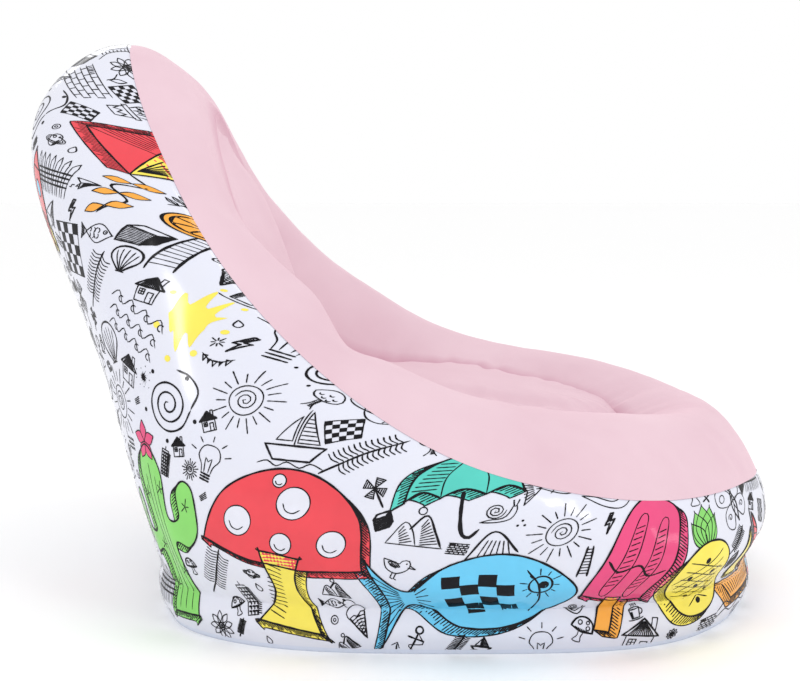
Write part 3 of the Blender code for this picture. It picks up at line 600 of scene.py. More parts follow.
# %% Puckers and folds of the top panel
# A row is a station, a share of the way from spine (0) by valley (1) to seam (2), then how far the
# fold reaches along and across the panel and how high it rises, in millimetres.
FOLDS = (
    (9.35, 1.5, 50, 45, -9), (8.1, 1.52, 38, 52, 8), (7.22, 1.55, 42, 60, -18), (6.6, 1.4, 52, 44, -4),
    (4.6, 0.6, 80, 18, -8), (3.5, 0.64, 55, 15, -6), (4.1, 0.98, 90, 16, 5), (5.6, 0.68, 40, 16, 4),
    (0.9, 1.12, 16, 60, 4), (0.3, 1.1, 14, 52, -4), (1.7, 1.08, 15, 44, -4), (2.4, 1.1, 18, 40, 3),
    (15.9, 1.4, 60, 60, -5), (17.2, 1.35, 45, 55, 5), (18.6, 1.3, 60, 45, -4), (20.3, 1.25, 45, 40, 4),
    (22.6, 1.12, 17, 55, -4), (23.3, 1.12, 15, 60, 4),
)
VALLEY_PUCKERS = ((11, 52, 18, 0.9), (12, 100, 34, 1.7))  # seed, wavelength, peak and height in mm
SEAM_PUCKERS = ((13, 70, 26, 0.7),)
FACET_HEIGHT = 1.6 * MM
HEADREST_REACH = 26 * MM
HEADREST_FILL = 10 * MM


def folds(points, stations, shares):
    """The few large folds that the filled skin settles into, as soft hills and hollows."""
    total = np.zeros(points.shape[:2])
    for station, share, along, across, rise in FOLDS:
        line = np.abs(stations - station).argmin()
        row = np.abs(shares[:, line] - share).argmin()
        middle = points[row, line]
        way = unit(points[row, (line + 1) % len(stations)] - points[row, line - 1])
        apart = points - middle
        ahead = apart @ way
        beside = np.linalg.norm(apart - ahead[..., None] * way, axis=2)
        total += rise * MM * np.exp(-((ahead / (along * MM)) ** 2) - (beside / (across * MM)) ** 2)
    return total


def top_relief(points, places, spine, valley, seam):
    """How far the flocked panel stands off its smooth form."""
    from_top = np.abs(stations_at(places) % (2 * STATIONS) - STATIONS)
    beside_valley = puckers(VALLEY_PUCKERS, places, valley)
    beside_valley = beside_valley * smooth_step(spine, 0, 70 * MM) * smooth_step(seam, 0, 60 * MM)
    beside_valley *= 0.1 + 0.9 * smooth_step(from_top, 2.2, 4.0)
    headrest = 1 - smooth_step(from_top, 1.6, 3.4)
    shallow = headrest * np.exp(-((valley / HEADREST_REACH) ** 2)) * HEADREST_FILL
    facet = Waves(14, 230 * MM).at(points) * smooth_step(seam, 0, 80 * MM) * FACET_HEIGHT
    facet *= smooth_step(valley, 0, 40 * MM)
    return beside_valley + puckers(SEAM_PUCKERS, places, seam) + shallow + facet


# The first row is the spine, where the left half of the grid meets the right half.
top_normals = outward_normals(top_points, True)
top_normals[0] += np.roll(top_normals[0, ::-1], 1, 0)
loop_ends = np.linalg.norm(top_normals[0], axis=1) < SMALL
top_normals[0, loop_ends] = top_normals[1, loop_ends]
top_normals[0] = unit(top_normals[0])
relief = top_relief(top_points, top_places, from_spine, to_valley, to_side_seam)
down_shares = np.concatenate([inside_wanted / inside_arc[-1], 1 + outside_wanted / outside_arc[-1]])
top_stations = stations_at(top_places) % (2 * STATIONS)
large = folds(top_points, top_stations, down_shares)
relief += large * smooth_step(to_side_seam, 0, 50 * MM) * smooth_step(from_spine, 0, 40 * MM)
top_outer = top_points + top_normals * relief[..., None]
top_panel = sheet(
    "flocked_top", top_outer, top_normals, TOP_SHEET, True, (-1,), [("to_valley", to_valley)]
)
close_up(top_panel)

# %% [markdown]
# ## Printed sides
# Two walls, near and far, run from under the flocked top down to the floor. The near one laps over
# the far one by a finger's width at the front and the back. The top lap is pressed in by the
# thickness of the flocked sheet, so that the seam lies flush.

# %% The valve's place
valve_points = np.array([vertex.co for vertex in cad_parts["valve_patch"].data.vertices])
valve_middle = (valve_points.max(0) + valve_points.min(0)) / 2
valve_out = np.linalg.svd(valve_points - valve_points.mean(0))[2][2]
valve_out *= math.copysign(1, valve_out @ valve_middle)
VALVE_FLAT = 38 * MM  # radius of the flat place in the wall
VALVE_FADE = 85 * MM
VALVE_HOLE = 22.3 * MM
PATCH_MIDDLE = 0.525 * MM  # half way through the patch, above the wall
valve_seat = valve_middle - valve_out * PATCH_MIDDLE
print("valve at", valve_seat.round(4), "facing", valve_out.round(3))

# %% Grid of a side wall
WALL_SHEET = 0.45 * MM
WELD_GAP = 0.3 * MM
TOP_LAP = 10 * MM
TOP_LAP_STEP = 6 * MM
SIDE_LAP = 6 * MM  # to each side of the middle
SIDE_LAP_STEP = 9 * MM
BOTTOM_LAP = 14 * MM
WALL_ROWS = 104
FOOT_ROWS = 12
FEW_ROWS = 60
LAP_START = 0.6  # levels above the seam


def wall_grid(places):
    """Points of the smooth skin from the lap under the top down to the floor, and two distances."""
    profiles = Profiles(stations_at(places))
    lap = profiles.rows(SEAM - LAP_START, SEAM, 1, FEW_ROWS)
    high = profiles.rows(SEAM, CREASE, 1, 2 * FINE_ROWS)
    foot = profiles.rows(CREASE, EDGE, 2, FEW_ROWS)
    lap_arc, high_arc, foot_arc = arc_length(lap), arc_length(high), arc_length(foot)
    fine = np.concatenate([lap[:-1], high, foot[1:]])
    arcs = np.concatenate([lap_arc[:-1] - lap_arc[-1], high_arc, foot_arc[1:] + high_arc[-1]])
    near_seam = np.array((-TOP_LAP, -TOP_LAP / 2, 0, TOP_LAP_STEP / 3, TOP_LAP_STEP * 2 / 3))
    near_seam = near_seam[:, None] + np.zeros(len(places))
    share = np.linspace(0, 1, WALL_ROWS)[:, None]
    wall = TOP_LAP_STEP + (high_arc[-1] - TOP_LAP_STEP) * share
    low = high_arc[-1] + foot_arc[-1] * np.linspace(0, 1, FOOT_ROWS + 1)[1:, None]
    from_seam = np.concatenate([near_seam, wall, low])
    return rows_at(fine, arcs, from_seam), from_seam, high_arc[-1] - from_seam


# %% Relief of a side wall
CREASE_PUCKERS = ((21, 34, 11, 0.5), (22, 95, 42, 1.3))


def wall_relief(points, places, seam, crease):
    """How far the printed wall stands off its smooth form."""
    low = puckers(CREASE_PUCKERS, places, crease) * smooth_step(seam, 0, 60 * MM)
    facet = Waves(23, 260 * MM).at(points) * FACET_HEIGHT
    facet *= smooth_step(np.abs(seam), 0, 60 * MM) * smooth_step(crease, 0, 50 * MM)
    return puckers(SEAM_PUCKERS, places, np.abs(seam)) + low + facet


def flatten_at_valve(points):
    """The wall lies flat under the valve's patch and comes back to its curve around it."""
    offset = points - valve_seat
    height = offset @ valve_out
    across = np.linalg.norm(offset - height[..., None] * valve_out, axis=-1)
    share = (1 - smooth_step(across, VALVE_FLAT, VALVE_FADE)) * (np.abs(height) < VALVE_FADE)
    return points - (height * share)[..., None] * valve_out


# %% Build both walls
WALL_LINE_STEP = 5.2 * MM
Wall = namedtuple("Wall", "piece outer normals paper")


def side_wall(name, first, last, tucked):
    """One wall and its outer grid, with the place of every point on the printed paper."""
    places = np.linspace(first, last, int((last - first) / WALL_LINE_STEP) + 1)
    points, from_seam, from_crease = wall_grid(places)
    up = from_seam[-1] - from_seam
    normals = outward_normals(points, False)
    depth = (TOP_SHEET + WELD_GAP) * (1 - smooth_step(from_seam, 0, TOP_LAP_STEP))
    if tucked:
        middle = np.minimum(np.abs(places - HALF_AROUND), np.abs(places - AROUND))
        side = 1 - smooth_step(middle, SIDE_LAP + WELD_GAP, SIDE_LAP + SIDE_LAP_STEP)
        side = np.where(places < HALF_AROUND, 1, np.where(places > AROUND, 1, side))
        depth = depth + (WALL_SHEET + WELD_GAP) * side
    relief = wall_relief(points, places[None, :], from_seam, from_crease)
    outer = flatten_at_valve(points + normals * (relief - depth)[..., None])
    outer[-1, :, 2] = EDGE_LIFT + (depth[-1] if tucked else 0)
    paper = np.stack([np.broadcast_to(places, up.shape), up, np.zeros_like(up)], axis=2)
    margin = outer[-1] - np.where(np.arange(3) < 2, normals[-1], 0) * BOTTOM_LAP
    rows = np.concatenate([outer, margin[None]])
    row_normals = np.concatenate([normals, np.broadcast_to((0.0, 0.0, -1.0), (1, len(places), 3))])
    row_paper = np.concatenate([paper, paper[-1:] - (0, BOTTOM_LAP, 0)])
    piece = sheet(name, rows, row_normals, WALL_SHEET, False, (0, -1), [("paper", row_paper)])
    close_up(piece)
    return Wall(piece, outer, normals, paper)


right_wall = side_wall("right_side", -SIDE_LAP, HALF_AROUND + SIDE_LAP, False)
left_wall = side_wall("left_side", HALF_AROUND - SIDE_LAP, AROUND + SIDE_LAP, True)
walls = (right_wall, left_wall)


# %% Paper map and valve hole
PAPER_MAP = "paper_map"
DRILL_SIDES = 96


def map_from_paper(piece):
    """Gives the piece a map whose coordinates are metres on the printed paper."""
    values = np.zeros(len(piece.data.vertices) * 3, np.float32)
    piece.data.attributes["paper"].data.foreach_get("vector", values)
    corners = np.zeros(len(piece.data.loops), np.int32)
    piece.data.loops.foreach_get("vertex_index", corners)
    layer = piece.data.uv_layers.new(name=PAPER_MAP)
    layer.data.foreach_set("uv", values.reshape(-1, 3)[corners, :2].ravel())
    piece.data.attributes.remove(piece.data.attributes["paper"])


def bore_valve_hole(piece):
    """Cuts the round hole that the valve's socket comes through."""
    shape = bmesh.new()
    turn = Vector(valve_out).to_track_quat("Z", "Y").to_matrix().to_4x4()
    place = Matrix.Translation(Vector(valve_seat)) @ turn
    bmesh.ops.create_cone(
        shape, cap_ends=True, segments=DRILL_SIDES, radius1=VALVE_HOLE, radius2=VALVE_HOLE,
        depth=VALVE_FLAT, matrix=place,
    )
    cutter_mesh = bpy.data.meshes.new("valve_drill")
    shape.to_mesh(cutter_mesh)
    shape.free()
    cutter = new_object("valve_drill", cutter_mesh)
    hole = piece.modifiers.new("valve_hole", "BOOLEAN")
    hole.object = cutter
    hole.operation = "DIFFERENCE"
    graph = bpy.context.evaluated_depsgraph_get()
    cut = bpy.data.meshes.new_from_object(piece.evaluated_get(graph))
    piece.modifiers.clear()
    piece.data = cut
    bpy.data.objects.remove(cutter)
    print(piece.name, "bored,", len(cut.polygons), "faces")


for wall in walls:
    map_from_paper(wall.piece)
bore_valve_hole(left_wall.piece)

# %% [markdown]
# ## Bottom panel
# The chair stands on one flat vinyl sheet, welded to the margin that both walls turn under.

# %% Bottom panel
BOTTOM_SHEET = 0.5 * MM
BOTTOM_LINES = 240
BOTTOM_SHARES = (1.0, 0.985, 0.96, 0.93, 0.8, 0.6, 0.4, 0.2, 0.0)
MIDDLE_LENGTH = 0.6  # of the chair's length
bottom_edge = rings[EDGE].at(stations_at(np.arange(BOTTOM_LINES) * AROUND / BOTTOM_LINES))
bottom_edge[:, 2] = 0
middle_line = bottom_edge * (MIDDLE_LENGTH, 0, 0)
bottom_rows = np.stack([middle_line + (bottom_edge - middle_line) * s for s in BOTTOM_SHARES])
down = np.broadcast_to((0.0, 0.0, -1.0), bottom_rows.shape)
bottom_panel = sheet("bottom_sheet", bottom_rows, down, BOTTOM_SHEET, True, (0,))
close_up(bottom_panel)

# %% [markdown]
# ## Flock
# Flock is a carpet of nylon fibres half a millimetre long. It looks matt and a little dusty at
# grazing angles, which is what sheen is for. A hand that brushed over it leaves wide patches that
# lean another way and look a shade lighter or darker. Next to the valley weld the pink is painted darker, as
# painted shade in the crease.

# %% Flock
FLOCK_LIGHT = colour(220, 193, 202)
FLOCK_DARK = colour(210, 178, 189)
# Painted shade: a darker pink laid along the valley weld, fading out a few centimetres from it.
FLOCK_VALLEY_SHADE = colour(198, 154, 170)
VALLEY_SHADE_REACH = 30 * MM

flock = Finish(
    "pink_flock", roughness=0.95, specular_ior_level=0.2, sheen_weight=0.55, sheen_roughness=0.45,
    sheen_tint=colour(255, 226, 234),
)
brushed = flock.noise(5, 3, 0.6)
speckle = flock.noise(1400, 2, 0.7)
fibre = flock.noise(2600, 1, 0.5)
leaning = (brushed * 0.8 + speckle * 0.35).between(0.35, 0.85)
nap = flock.mix(leaning, FLOCK_DARK, FLOCK_LIGHT)
valley = flock.node("ShaderNodeAttribute", {"attribute_name": "to_valley"}, {}, "Fac")
# The flock is painted darker near the valley weld, as painted shade in the crease.
flock.set("Base Color", flock.mix(valley.between(0, VALLEY_SHADE_REACH), FLOCK_VALLEY_SHADE, nap))
flock.bump(fibre * 0.6 + speckle * 0.4, 0.35 * MM, 0.6)
top_panel.data.materials.append(flock.material)

# %% [markdown]
# ## White vinyl
# The sides are clear vinyl printed on the inside, so the white lies under a thin glossy coat. Close
# to the floor the white stops short of the weld, and the margin shows grey and clear.

# %% Vinyl
VINYL_WHITE = colour(214, 215, 225)
VINYL_CLOUD = colour(212, 214, 227)
VINYL_CLEAR = colour(205, 211, 226)
CLEAR_MARGIN = 7 * MM
MARGIN_FADE = 2 * MM
CLEAR_COAT = 0.8


def vinyl(name, base, second, gloss=0.13, coat=CLEAR_COAT):
    """Soft glossy vinyl: an even skin with faint ripples and a clear coat."""
    finish = Finish(
        name, roughness=0.5, specular_ior_level=0.0, coat_weight=coat, coat_roughness=gloss,
        coat_ior=1.45,
    )
    cloud = finish.noise(14, 3, 0.6)
    finish.base = finish.mix(cloud.between(0.3, 0.8), base, second)
    finish.set("Base Color", finish.base)
    ripple = finish.noise(38, 2, 0.5)
    grain = finish.noise(900, 1, 0.5)
    finish.bump(ripple * 0.9 + grain * 0.03, 0.5 * MM, 0.25)
    return finish


printed_white = vinyl("printed_white", VINYL_WHITE, VINYL_CLOUD)
paper_place = printed_white.node("ShaderNodeUVMap", {"uv_map": PAPER_MAP}, {}, "UV")
height_up = printed_white.node("ShaderNodeSeparateXYZ", {}, {"Vector": paper_place}, "Y")
white_share = height_up.between(CLEAR_MARGIN, CLEAR_MARGIN + MARGIN_FADE)
printed_white.set("Base Color", printed_white.mix(white_share, VINYL_CLEAR, printed_white.base))
for wall in walls:
    wall.piece.data.materials.clear()
    wall.piece.data.materials.append(printed_white.material)

plain_vinyl = vinyl("plain_vinyl", colour(214, 219, 230), colour(206, 212, 225))
bottom_panel.data.materials.append(plain_vinyl.material)
web_vinyl = vinyl("web_vinyl", colour(222, 226, 234), colour(214, 219, 229))
valve_vinyl = vinyl("valve_vinyl", colour(226, 230, 238), colour(216, 221, 232), 0.3)


# %% [markdown]
# ## A drawn print
# The sides carry a dense pen drawing with coloured blocks in it. It is drawn flat first, on a paper
# whose coordinates are the place round the chair and the height up the skin, and then it is laid on
# the walls. Every mark is a thin face. A stroke is a ribbon that wavers in width, as a felt pen
# does, and a coloured area is a filled outline. Marks on a higher level lie on those below them.

# %% Inks and paper
INK_COLOURS = {
    "black": (13, 11, 17), "white": (220, 221, 232), "red": (226, 70, 80), "sky": (104, 196, 234),
    "green": (132, 208, 104), "magenta": (222, 74, 124), "yellow": (241, 224, 90),
    "orange": (240, 166, 66), "teal": (84, 200, 186), "pale_blue": (170, 214, 238),
}
PEN = 1.6 * MM
MARKER = 2.7 * MM
BRUSH = 4.6 * MM
LONGEST_STEP = 5 * MM
SHORTEST_STEP = 1.5 * MM
INK_RISE = 0.3 * MM
LEVEL_RISE = 0.08 * MM
CELL = 5 * MM  # of the grid that remembers where the paper is taken
MARK_REACH = 1  # cells kept free round a mark
PAPER_HEIGHT = 1.3  # with its margins
PAPER_MARGIN = 0.1


class Paper:
    """One wall's sheet of paper, with its marks sorted by ink."""

    def __init__(self, first, last, seed):
        self.random = np.random.default_rng(seed)
        self.start = np.array((first, 0)) - PAPER_MARGIN
        size = (last - first + 2 * PAPER_MARGIN, PAPER_HEIGHT)
        self.taken = np.zeros([int(side / CELL) for side in size], bool)
        self.points = {ink: [] for ink in INK_COLOURS}
        self.faces = {ink: [] for ink in INK_COLOURS}

    def add(self, ink, level, flat, faces):
        first = len(self.points[ink])
        height = INK_RISE + LEVEL_RISE * level
        self.points[ink] += [(x, y, height) for x, y in flat]
        self.faces[ink] += [[first + i for i in face] for face in faces]
        self.take(flat)

    def take(self, flat):
        cells = ((np.asarray(flat) - self.start) / CELL).astype(int)
        cells = np.clip(cells, MARK_REACH, np.array(self.taken.shape) - 1 - MARK_REACH)
        for across in range(-MARK_REACH, MARK_REACH + 1):
            for up in range(-MARK_REACH, MARK_REACH + 1):
                self.taken[cells[:, 0] + across, cells[:, 1] + up] = True

    def is_free(self, middle, radius):
        reach = int(radius / CELL)
        x, y = ((middle - self.start) / CELL).astype(int)
        window = self.taken[max(x - reach, 0) : x + reach + 1, max(y - reach, 0) : y + reach + 1]
        return not window.any()


# %% Paths
CURVE_STEPS = 8
STROKE_STEPS = 14


def smooth_path(points, closed):
    """A smooth line through points. A point given twice makes a corner."""
    if closed:
        ends = np.vstack([points[-1:], points, points[:2]])
    else:
        ends = np.vstack([2 * points[:1] - points[1:2], points, 2 * points[-1:] - points[-2:-1]])
    t = np.linspace(0, 1, CURVE_STEPS + 1)[:-1, None]
    pieces = []
    for a, b, c, d in zip(ends, ends[1:], ends[2:], ends[3:]):
        slope, bend, twist = c - a, 2 * a - 5 * b + 4 * c - d, 3 * b - a - 3 * c + d
        pieces.append(b + (slope * t + bend * t**2 + twist * t**3) / 2)
    return np.vstack(pieces + [ends[-2:-1]])


def even_path(path, step=None):
    """The same line with points at even distances."""
    arc = arc_length(path)
    step = step or min(max(arc[-1] / STROKE_STEPS, SHORTEST_STEP), LONGEST_STEP)
    wanted = np.linspace(0, arc[-1], max(int(math.ceil(arc[-1] / step)), 2) + 1)
    return np.stack([np.interp(wanted, arc, path[:, axis]) for axis in range(2)], axis=1)


def is_inside(places, outline):
    """Which places lie inside a closed outline."""
    x, y = places[:, :1], places[:, 1:]
    (x0, y0), (x1, y1) = outline.T, np.roll(outline, -1, 0).T
    crosses = (y0 > y) != (y1 > y)
    at = x0 + (y - y0) * (x1 - x0) / np.where(y1 == y0, 1, y1 - y0)
    return (crosses & (x < at)).sum(1) % 2 == 1


def fill_outline(outline):
    """Points and triangles that fill an outline, small enough to follow the skin."""
    low, high = outline.min(0), outline.max(0)
    across, up = (np.arange(a + LONGEST_STEP / 2, b, LONGEST_STEP) for a, b in zip(low, high))
    places = np.array([(x, y) for x in across for y in up]).reshape(-1, 2)
    if len(places):
        places = places[is_inside(places, outline)]
    if len(places):
        gaps = np.linalg.norm(places[:, None] - outline[None], axis=2).min(1)
        places = places[gaps > 0.5 * LONGEST_STEP]
    everything = [Vector(point) for point in np.vstack([outline, places])]
    made = delaunay_2d_cdt(everything, [], [list(range(len(outline)))], 1, SMALL)
    return np.array([tuple(point) for point in made[0]]), made[2]


# %% Pen
# Levels of marks: a block's side lies under the strokes of the pen, a few marks lie over those, and
# a block's face carries its colours, then the details drawn on it and its outline on top.
UNDER, STROKE, OVER, FACE, COLOUR, DETAIL, TOP = range(7)
WAVER = 0.22
START_TAPER, END_TAPER = 0.45, 0.3
DOT_SIDES = 9
SMALLEST_DOT = 0.7 * MM
ARC_STEP = 40  # degrees
SIDE_HATCH = 4.2 * MM


class Pen:
    """Draws one motif, in a frame in which it reaches from about -1 to 1."""

    def __init__(self, paper, middle, size, turn=0.0):
        self.paper = paper
        self.size = size
        self.middle = np.array(middle)
        c, s = math.cos(math.radians(turn)), math.sin(math.radians(turn))
        self.axes = size * np.array(((c, s), (-s, c)))

    def on_paper(self, points):
        return np.asarray(points, float) @ self.axes + self.middle

    def ribbon(self, path, width, closed, ink, level):
        if closed:
            along = np.roll(path, -1, 0) - np.roll(path, 1, 0)
        else:
            along = np.gradient(path, axis=0)
        side = unit(np.stack([-along[:, 1], along[:, 0]], axis=1))
        count = len(path)
        first, second = self.paper.random.uniform(0, 6, 2)
        steps = np.arange(count)
        waver = WAVER * np.sin(steps * 0.9 + first) * np.sin(steps * 0.37 + second)
        half = width / 2 * (1 + waver)
        if not closed:
            half[0] *= START_TAPER
            half[-1] *= END_TAPER
        flat = np.vstack([path - side * half[:, None], path + side * half[:, None]])
        faces = [(i, i + 1, i + 1 + count, i + count) for i in range(count - 1)]
        if closed:
            faces.append((count - 1, 0, count, 2 * count - 1))
        self.paper.add(ink, level, flat, faces)

    def curve(self, points, width=PEN, closed=False, ink="black", level=STROKE):
        path = even_path(smooth_path(self.on_paper(points), closed))
        self.ribbon(path[:-1] if closed else path, width, closed, ink, level)

    def lines(self, points, width=PEN, ink="black", level=STROKE):
        """Straight strokes from corner to corner, each a little too long."""
        corners = self.on_paper(points)
        for start, end in zip(corners, corners[1:]):
            over = unit(end - start) * width * 0.5
            self.ribbon(even_path(np.array([start - over, end + over])), width, False, ink, level)

    def arc(self, x, y, radius, first=0, last=360, squash=1.0, width=PEN, ink="black", level=STROKE):
        closed = last - first == 360
        count = max(int((last - first) / ARC_STEP), 3)
        angles = np.radians(np.linspace(first, last, count + 1))[: count if closed else None]
        ring = np.stack([x + radius * np.cos(angles), y + radius * squash * np.sin(angles)], axis=1)
        self.curve(ring, width, closed, ink, level)

    def spiral(self, x, y, radius, turns=2.0, width=PEN, level=STROKE):
        share = np.linspace(0.08, 1, int(turns * 8))
        angles = share * turns * 2 * math.pi
        ring = np.stack([np.cos(angles), np.sin(angles)], axis=1) * (radius * share)[:, None]
        self.curve(ring + (x, y), width, level=level)

    def dot(self, x, y, radius, ink="black", level=STROKE):
        reach = max(radius * self.size, SMALLEST_DOT)
        flat = spokes(DOT_SIDES) * reach + self.on_paper([(x, y)])
        self.paper.add(ink, level, flat, [tuple(range(DOT_SIDES))])

    def rays(self, x, y, inner, outer, count, width=PEN, first=0.0, level=STROKE):
        for number, way in enumerate(spokes(count, first)):
            end = outer if number % 2 else inner + (outer - inner) * 0.6
            self.lines([way * inner + (x, y), way * end + (x, y)], width, level=level)

    def hatch(self, first, second, count, width=PEN, level=STROKE):
        """Strokes from one line across to another. A line is the x and y of its two ends."""
        first, second = np.reshape(first, (2, 2)), np.reshape(second, (2, 2))
        for share in (np.arange(count) + 0.5) / count:
            start = first[0] + (first[1] - first[0]) * share
            end = second[0] + (second[1] - second[0]) * share
            self.lines([start, end], width, level=level)

    def leaf(self, start, end, fat, width=PEN, ink=None, level=STROKE):
        """A pointed oval from start to end, filled where an ink is named."""
        start, end = np.asarray(start, float), np.asarray(end, float)
        middle = (start + end) / 2
        side = np.array((start[1] - end[1], end[0] - start[0])) * fat
        outline = [start, start, middle + side, end, end, middle - side]
        if ink:
            self.fill(outline, ink, level)
        self.curve(outline, width, True, level=level + bool(ink))

    def outline(self, points, smooth):
        points = self.on_paper(points)
        path = smooth_path(points, True) if smooth else np.vstack([points, points[:1]])
        x, y = path.T
        if (x[:-1] * y[1:] - x[1:] * y[:-1]).sum() < 0:
            path = path[::-1]
        if smooth:
            return even_path(path)[:-1]
        sides = [even_path(np.array(ends), LONGEST_STEP)[:-1] for ends in zip(path, path[1:])]
        return np.vstack(sides)

    def fill(self, points, ink, level=UNDER, smooth=True):
        flat, faces = fill_outline(self.outline(points, smooth))
        self.paper.add(ink, level, flat, faces)

    def block(self, points, ink, depth, smooth=True, width=MARKER):
        """A filled shape, cut out of thick board: its sides show, hatched with the pen."""
        outline = self.outline(points, smooth)
        after = np.roll(outline, -1, 0)
        away = np.stack([after[:, 1] - outline[:, 1], outline[:, 0] - after[:, 0]], axis=1)
        seen = away @ np.array(depth) > 0
        shift = np.array(depth) * MM
        turn = int(np.argmin(seen))
        outline, seen = np.roll(outline, -turn, 0), np.roll(seen, -turn)
        run = []
        for number, is_seen in enumerate(np.append(seen, False)):
            if is_seen:
                run.append(outline[number])
            elif run:
                run.append(outline[number % len(outline)])
                self.side(np.array(run), shift, ink)
                run = []
        flat, faces = fill_outline(outline)
        self.paper.add(ink, FACE, flat, faces)
        self.ribbon(outline, width, True, "black", TOP)

    def side(self, run, shift, ink):
        """The part of a block's side that leaves its outline along one run of points."""
        slices = max(int(np.linalg.norm(shift) / LONGEST_STEP), 1) + 1
        rows = np.stack([run + shift * share for share in np.linspace(0, 1, slices + 1)])
        self.paper.add(ink, UNDER, rows.reshape(-1, 2), grid_faces(slices + 1, len(run)))
        last_edge = even_path(rows[::-1, -1])[1:]
        border = np.vstack([even_path(rows[:, 0]), even_path(rows[-1])[1:], last_edge])
        self.ribbon(border, PEN * 1.2, False, "black", OVER)
        arc = arc_length(run)
        for place in np.arange(2 * MM, arc[-1], SIDE_HATCH):
            start = np.array([np.interp(place, arc, run[:, axis]) for axis in range(2)])
            reach = self.paper.random.uniform(0.55, 1.0)
            self.ribbon(even_path(np.array([start, start + shift * reach])), PEN, False, "black", STROKE)


def grid_faces(rows, lines):
    """Faces between the neighbours of a grid of points, row after row."""
    starts = [row * lines + line for row in range(rows - 1) for line in range(lines - 1)]
    return [(a, a + lines, a + lines + 1, a + 1) for a in starts]


def spokes(count, first=0.0):
    """Evenly spread directions, as points at a distance of 1."""
    angles = math.radians(first) + np.arange(count) * 2 * math.pi / count
    return np.stack([np.cos(angles), np.sin(angles)], axis=1)


def box(x, y, wide, high):
    """The corners of an upright rectangle round a middle, ending where they start."""
    corners = ((-1, -1), (1, -1), (1, 1), (-1, 1), (-1, -1))
    return [(x + i * wide / 2, y + j * high / 2) for i, j in corners]


def mirrored(half, *middle):
    """One half of an outline, the points between the halves, and the same half turned over."""
    return [*half, *middle, *((-x, y) for x, y in reversed(half))]


def up_and_down(places, low, rise):
    """Points that lie on a line and above it by turns."""
    return [(x, low + rise * (number % 2)) for number, x in enumerate(places)]


# %% [markdown]
# ### Pen motifs
# Each of these small drawings is a few strokes with the same pen: weather, plants, animals, toys and
# buildings. None of them is a letter or a sign.


# %% Weather and sky
def cloud(pen):
    pen.curve(
        [(-0.8, -0.3), (-1, 0), (-0.7, 0.2), (-0.55, 0.55), (-0.1, 0.68), (0.2, 0.42), (0.6, 0.5),
         (0.75, 0.2), (1, 0), (0.8, -0.3), (0, -0.36)], closed=True,
    )
    pen.arc(-0.25, 0.2, 0.25, 20, 190)
    pen.arc(0.45, 0.1, 0.2, 10, 170)
    pen.hatch((-0.6, -0.5, 0.6, -0.5), (-0.75, -0.9, 0.45, -0.9), 6)


def sun(pen):
    pen.arc(0, 0, 0.45)
    pen.spiral(0, 0, 0.32, 2.5)
    pen.rays(0, 0, 0.56, 1, 18)


def moon(pen):
    pen.curve([(0.3, 0.9), (0.3, 0.9), (-0.5, 0.6), (-0.75, -0.1), (-0.3, -0.75), (0.5, -0.85),
               (0.5, -0.85), (-0.1, -0.4), (-0.2, 0.3)], MARKER, True)
    pen.hatch((-0.7, 0.2, -0.2, -0.75), (-0.3, 0.3, 0, -0.5), 8)
    pen.rays(0.55, 0.25, 0.08, 0.3, 6)
    pen.rays(0.2, 0.75, 0.04, 0.18, 5)


def planet(pen):
    pen.arc(0, 0, 0.55)
    pen.arc(0, 0, 1, 100, 440, 0.3)
    pen.arc(0, 0, 0.82, 130, 410, 0.22)
    pen.arc(-0.2, 0.22, 0.12)
    pen.arc(0.2, 0.3, 0.07)
    pen.hatch((0.1, -0.52, 0.5, -0.2), (0.2, -0.2, 0.42, 0.1), 6)


def splash(pen):
    random = pen.paper.random
    tips = spokes(11, random.uniform(0, 30)) * random.uniform(0.55, 1.0, (11, 1))
    dips = spokes(11, random.uniform(30, 50)) * random.uniform(0.2, 0.3, (11, 1))
    points = np.stack([tips, dips], axis=1).reshape(-1, 2)
    pen.fill(points, "black", STROKE)
    for x, y in spokes(9, 10) * random.uniform(0.85, 1.25, (9, 1)):
        pen.dot(x, y, random.uniform(0.03, 0.08))


def brush_sweep(pen):
    for number, y in enumerate((0.4, 0.15, -0.08, -0.3)):
        sweep = [(-0.9 + 0.1 * number, y - 0.2), (-0.2, y + 0.12), (0.4, y - 0.1), (0.95, y + 0.2)]
        pen.curve(sweep, BRUSH * 0.8)
    for x in (-0.6, -0.1, 0.3, 0.7):
        pen.dot(x, 0.72 + 0.1 * x, 0.05)


def swirl(pen):
    pen.spiral(0, 0, 0.75, 3, MARKER)
    pen.curve([(0.75, 0.02), (0.9, 0.5), (0.6, 0.85), (0.2, 0.95)], MARKER)
    for x, y in spokes(5, 200) * 0.95:
        pen.dot(x, y, 0.06)


def bolt(pen):
    flash = [(0.1, 1), (-0.5, -0.1), (-0.05, -0.05), (-0.35, -1), (0.5, 0.25), (0.05, 0.2), (0.4, 0.95)]
    pen.lines([*flash, flash[0]], MARKER)
    pen.hatch((0.15, 0.85, -0.3, 0.1), (0.3, 0.8, 0, 0.25), 7)


# %% Plants
def sprig(pen):
    pen.curve([(-0.2, -1), (0.05, -0.3), (-0.05, 0.4), (0.1, 1)])
    for number in range(6):
        y = -0.6 + number * 0.25
        side = 1 if number % 2 else -1
        pen.leaf((0, y), (side * 0.6, y + 0.38), 0.2)
        pen.lines([(0, y), (side * 0.45, y + 0.28)])


def daisy(pen):
    for way in spokes(9):
        pen.leaf(way * 0.2 + (0, 0.3), way * 0.66 + (0, 0.3), 0.28)
    pen.arc(0, 0.3, 0.17, width=MARKER)
    pen.hatch((-0.12, 0.4, -0.1, 0.2), (0.12, 0.4, 0.1, 0.2), 4)
    pen.curve([(0, -0.35), (0.08, -0.7), (-0.05, -1)])
    pen.leaf((0.03, -0.9), (0.5, -0.55), 0.2)


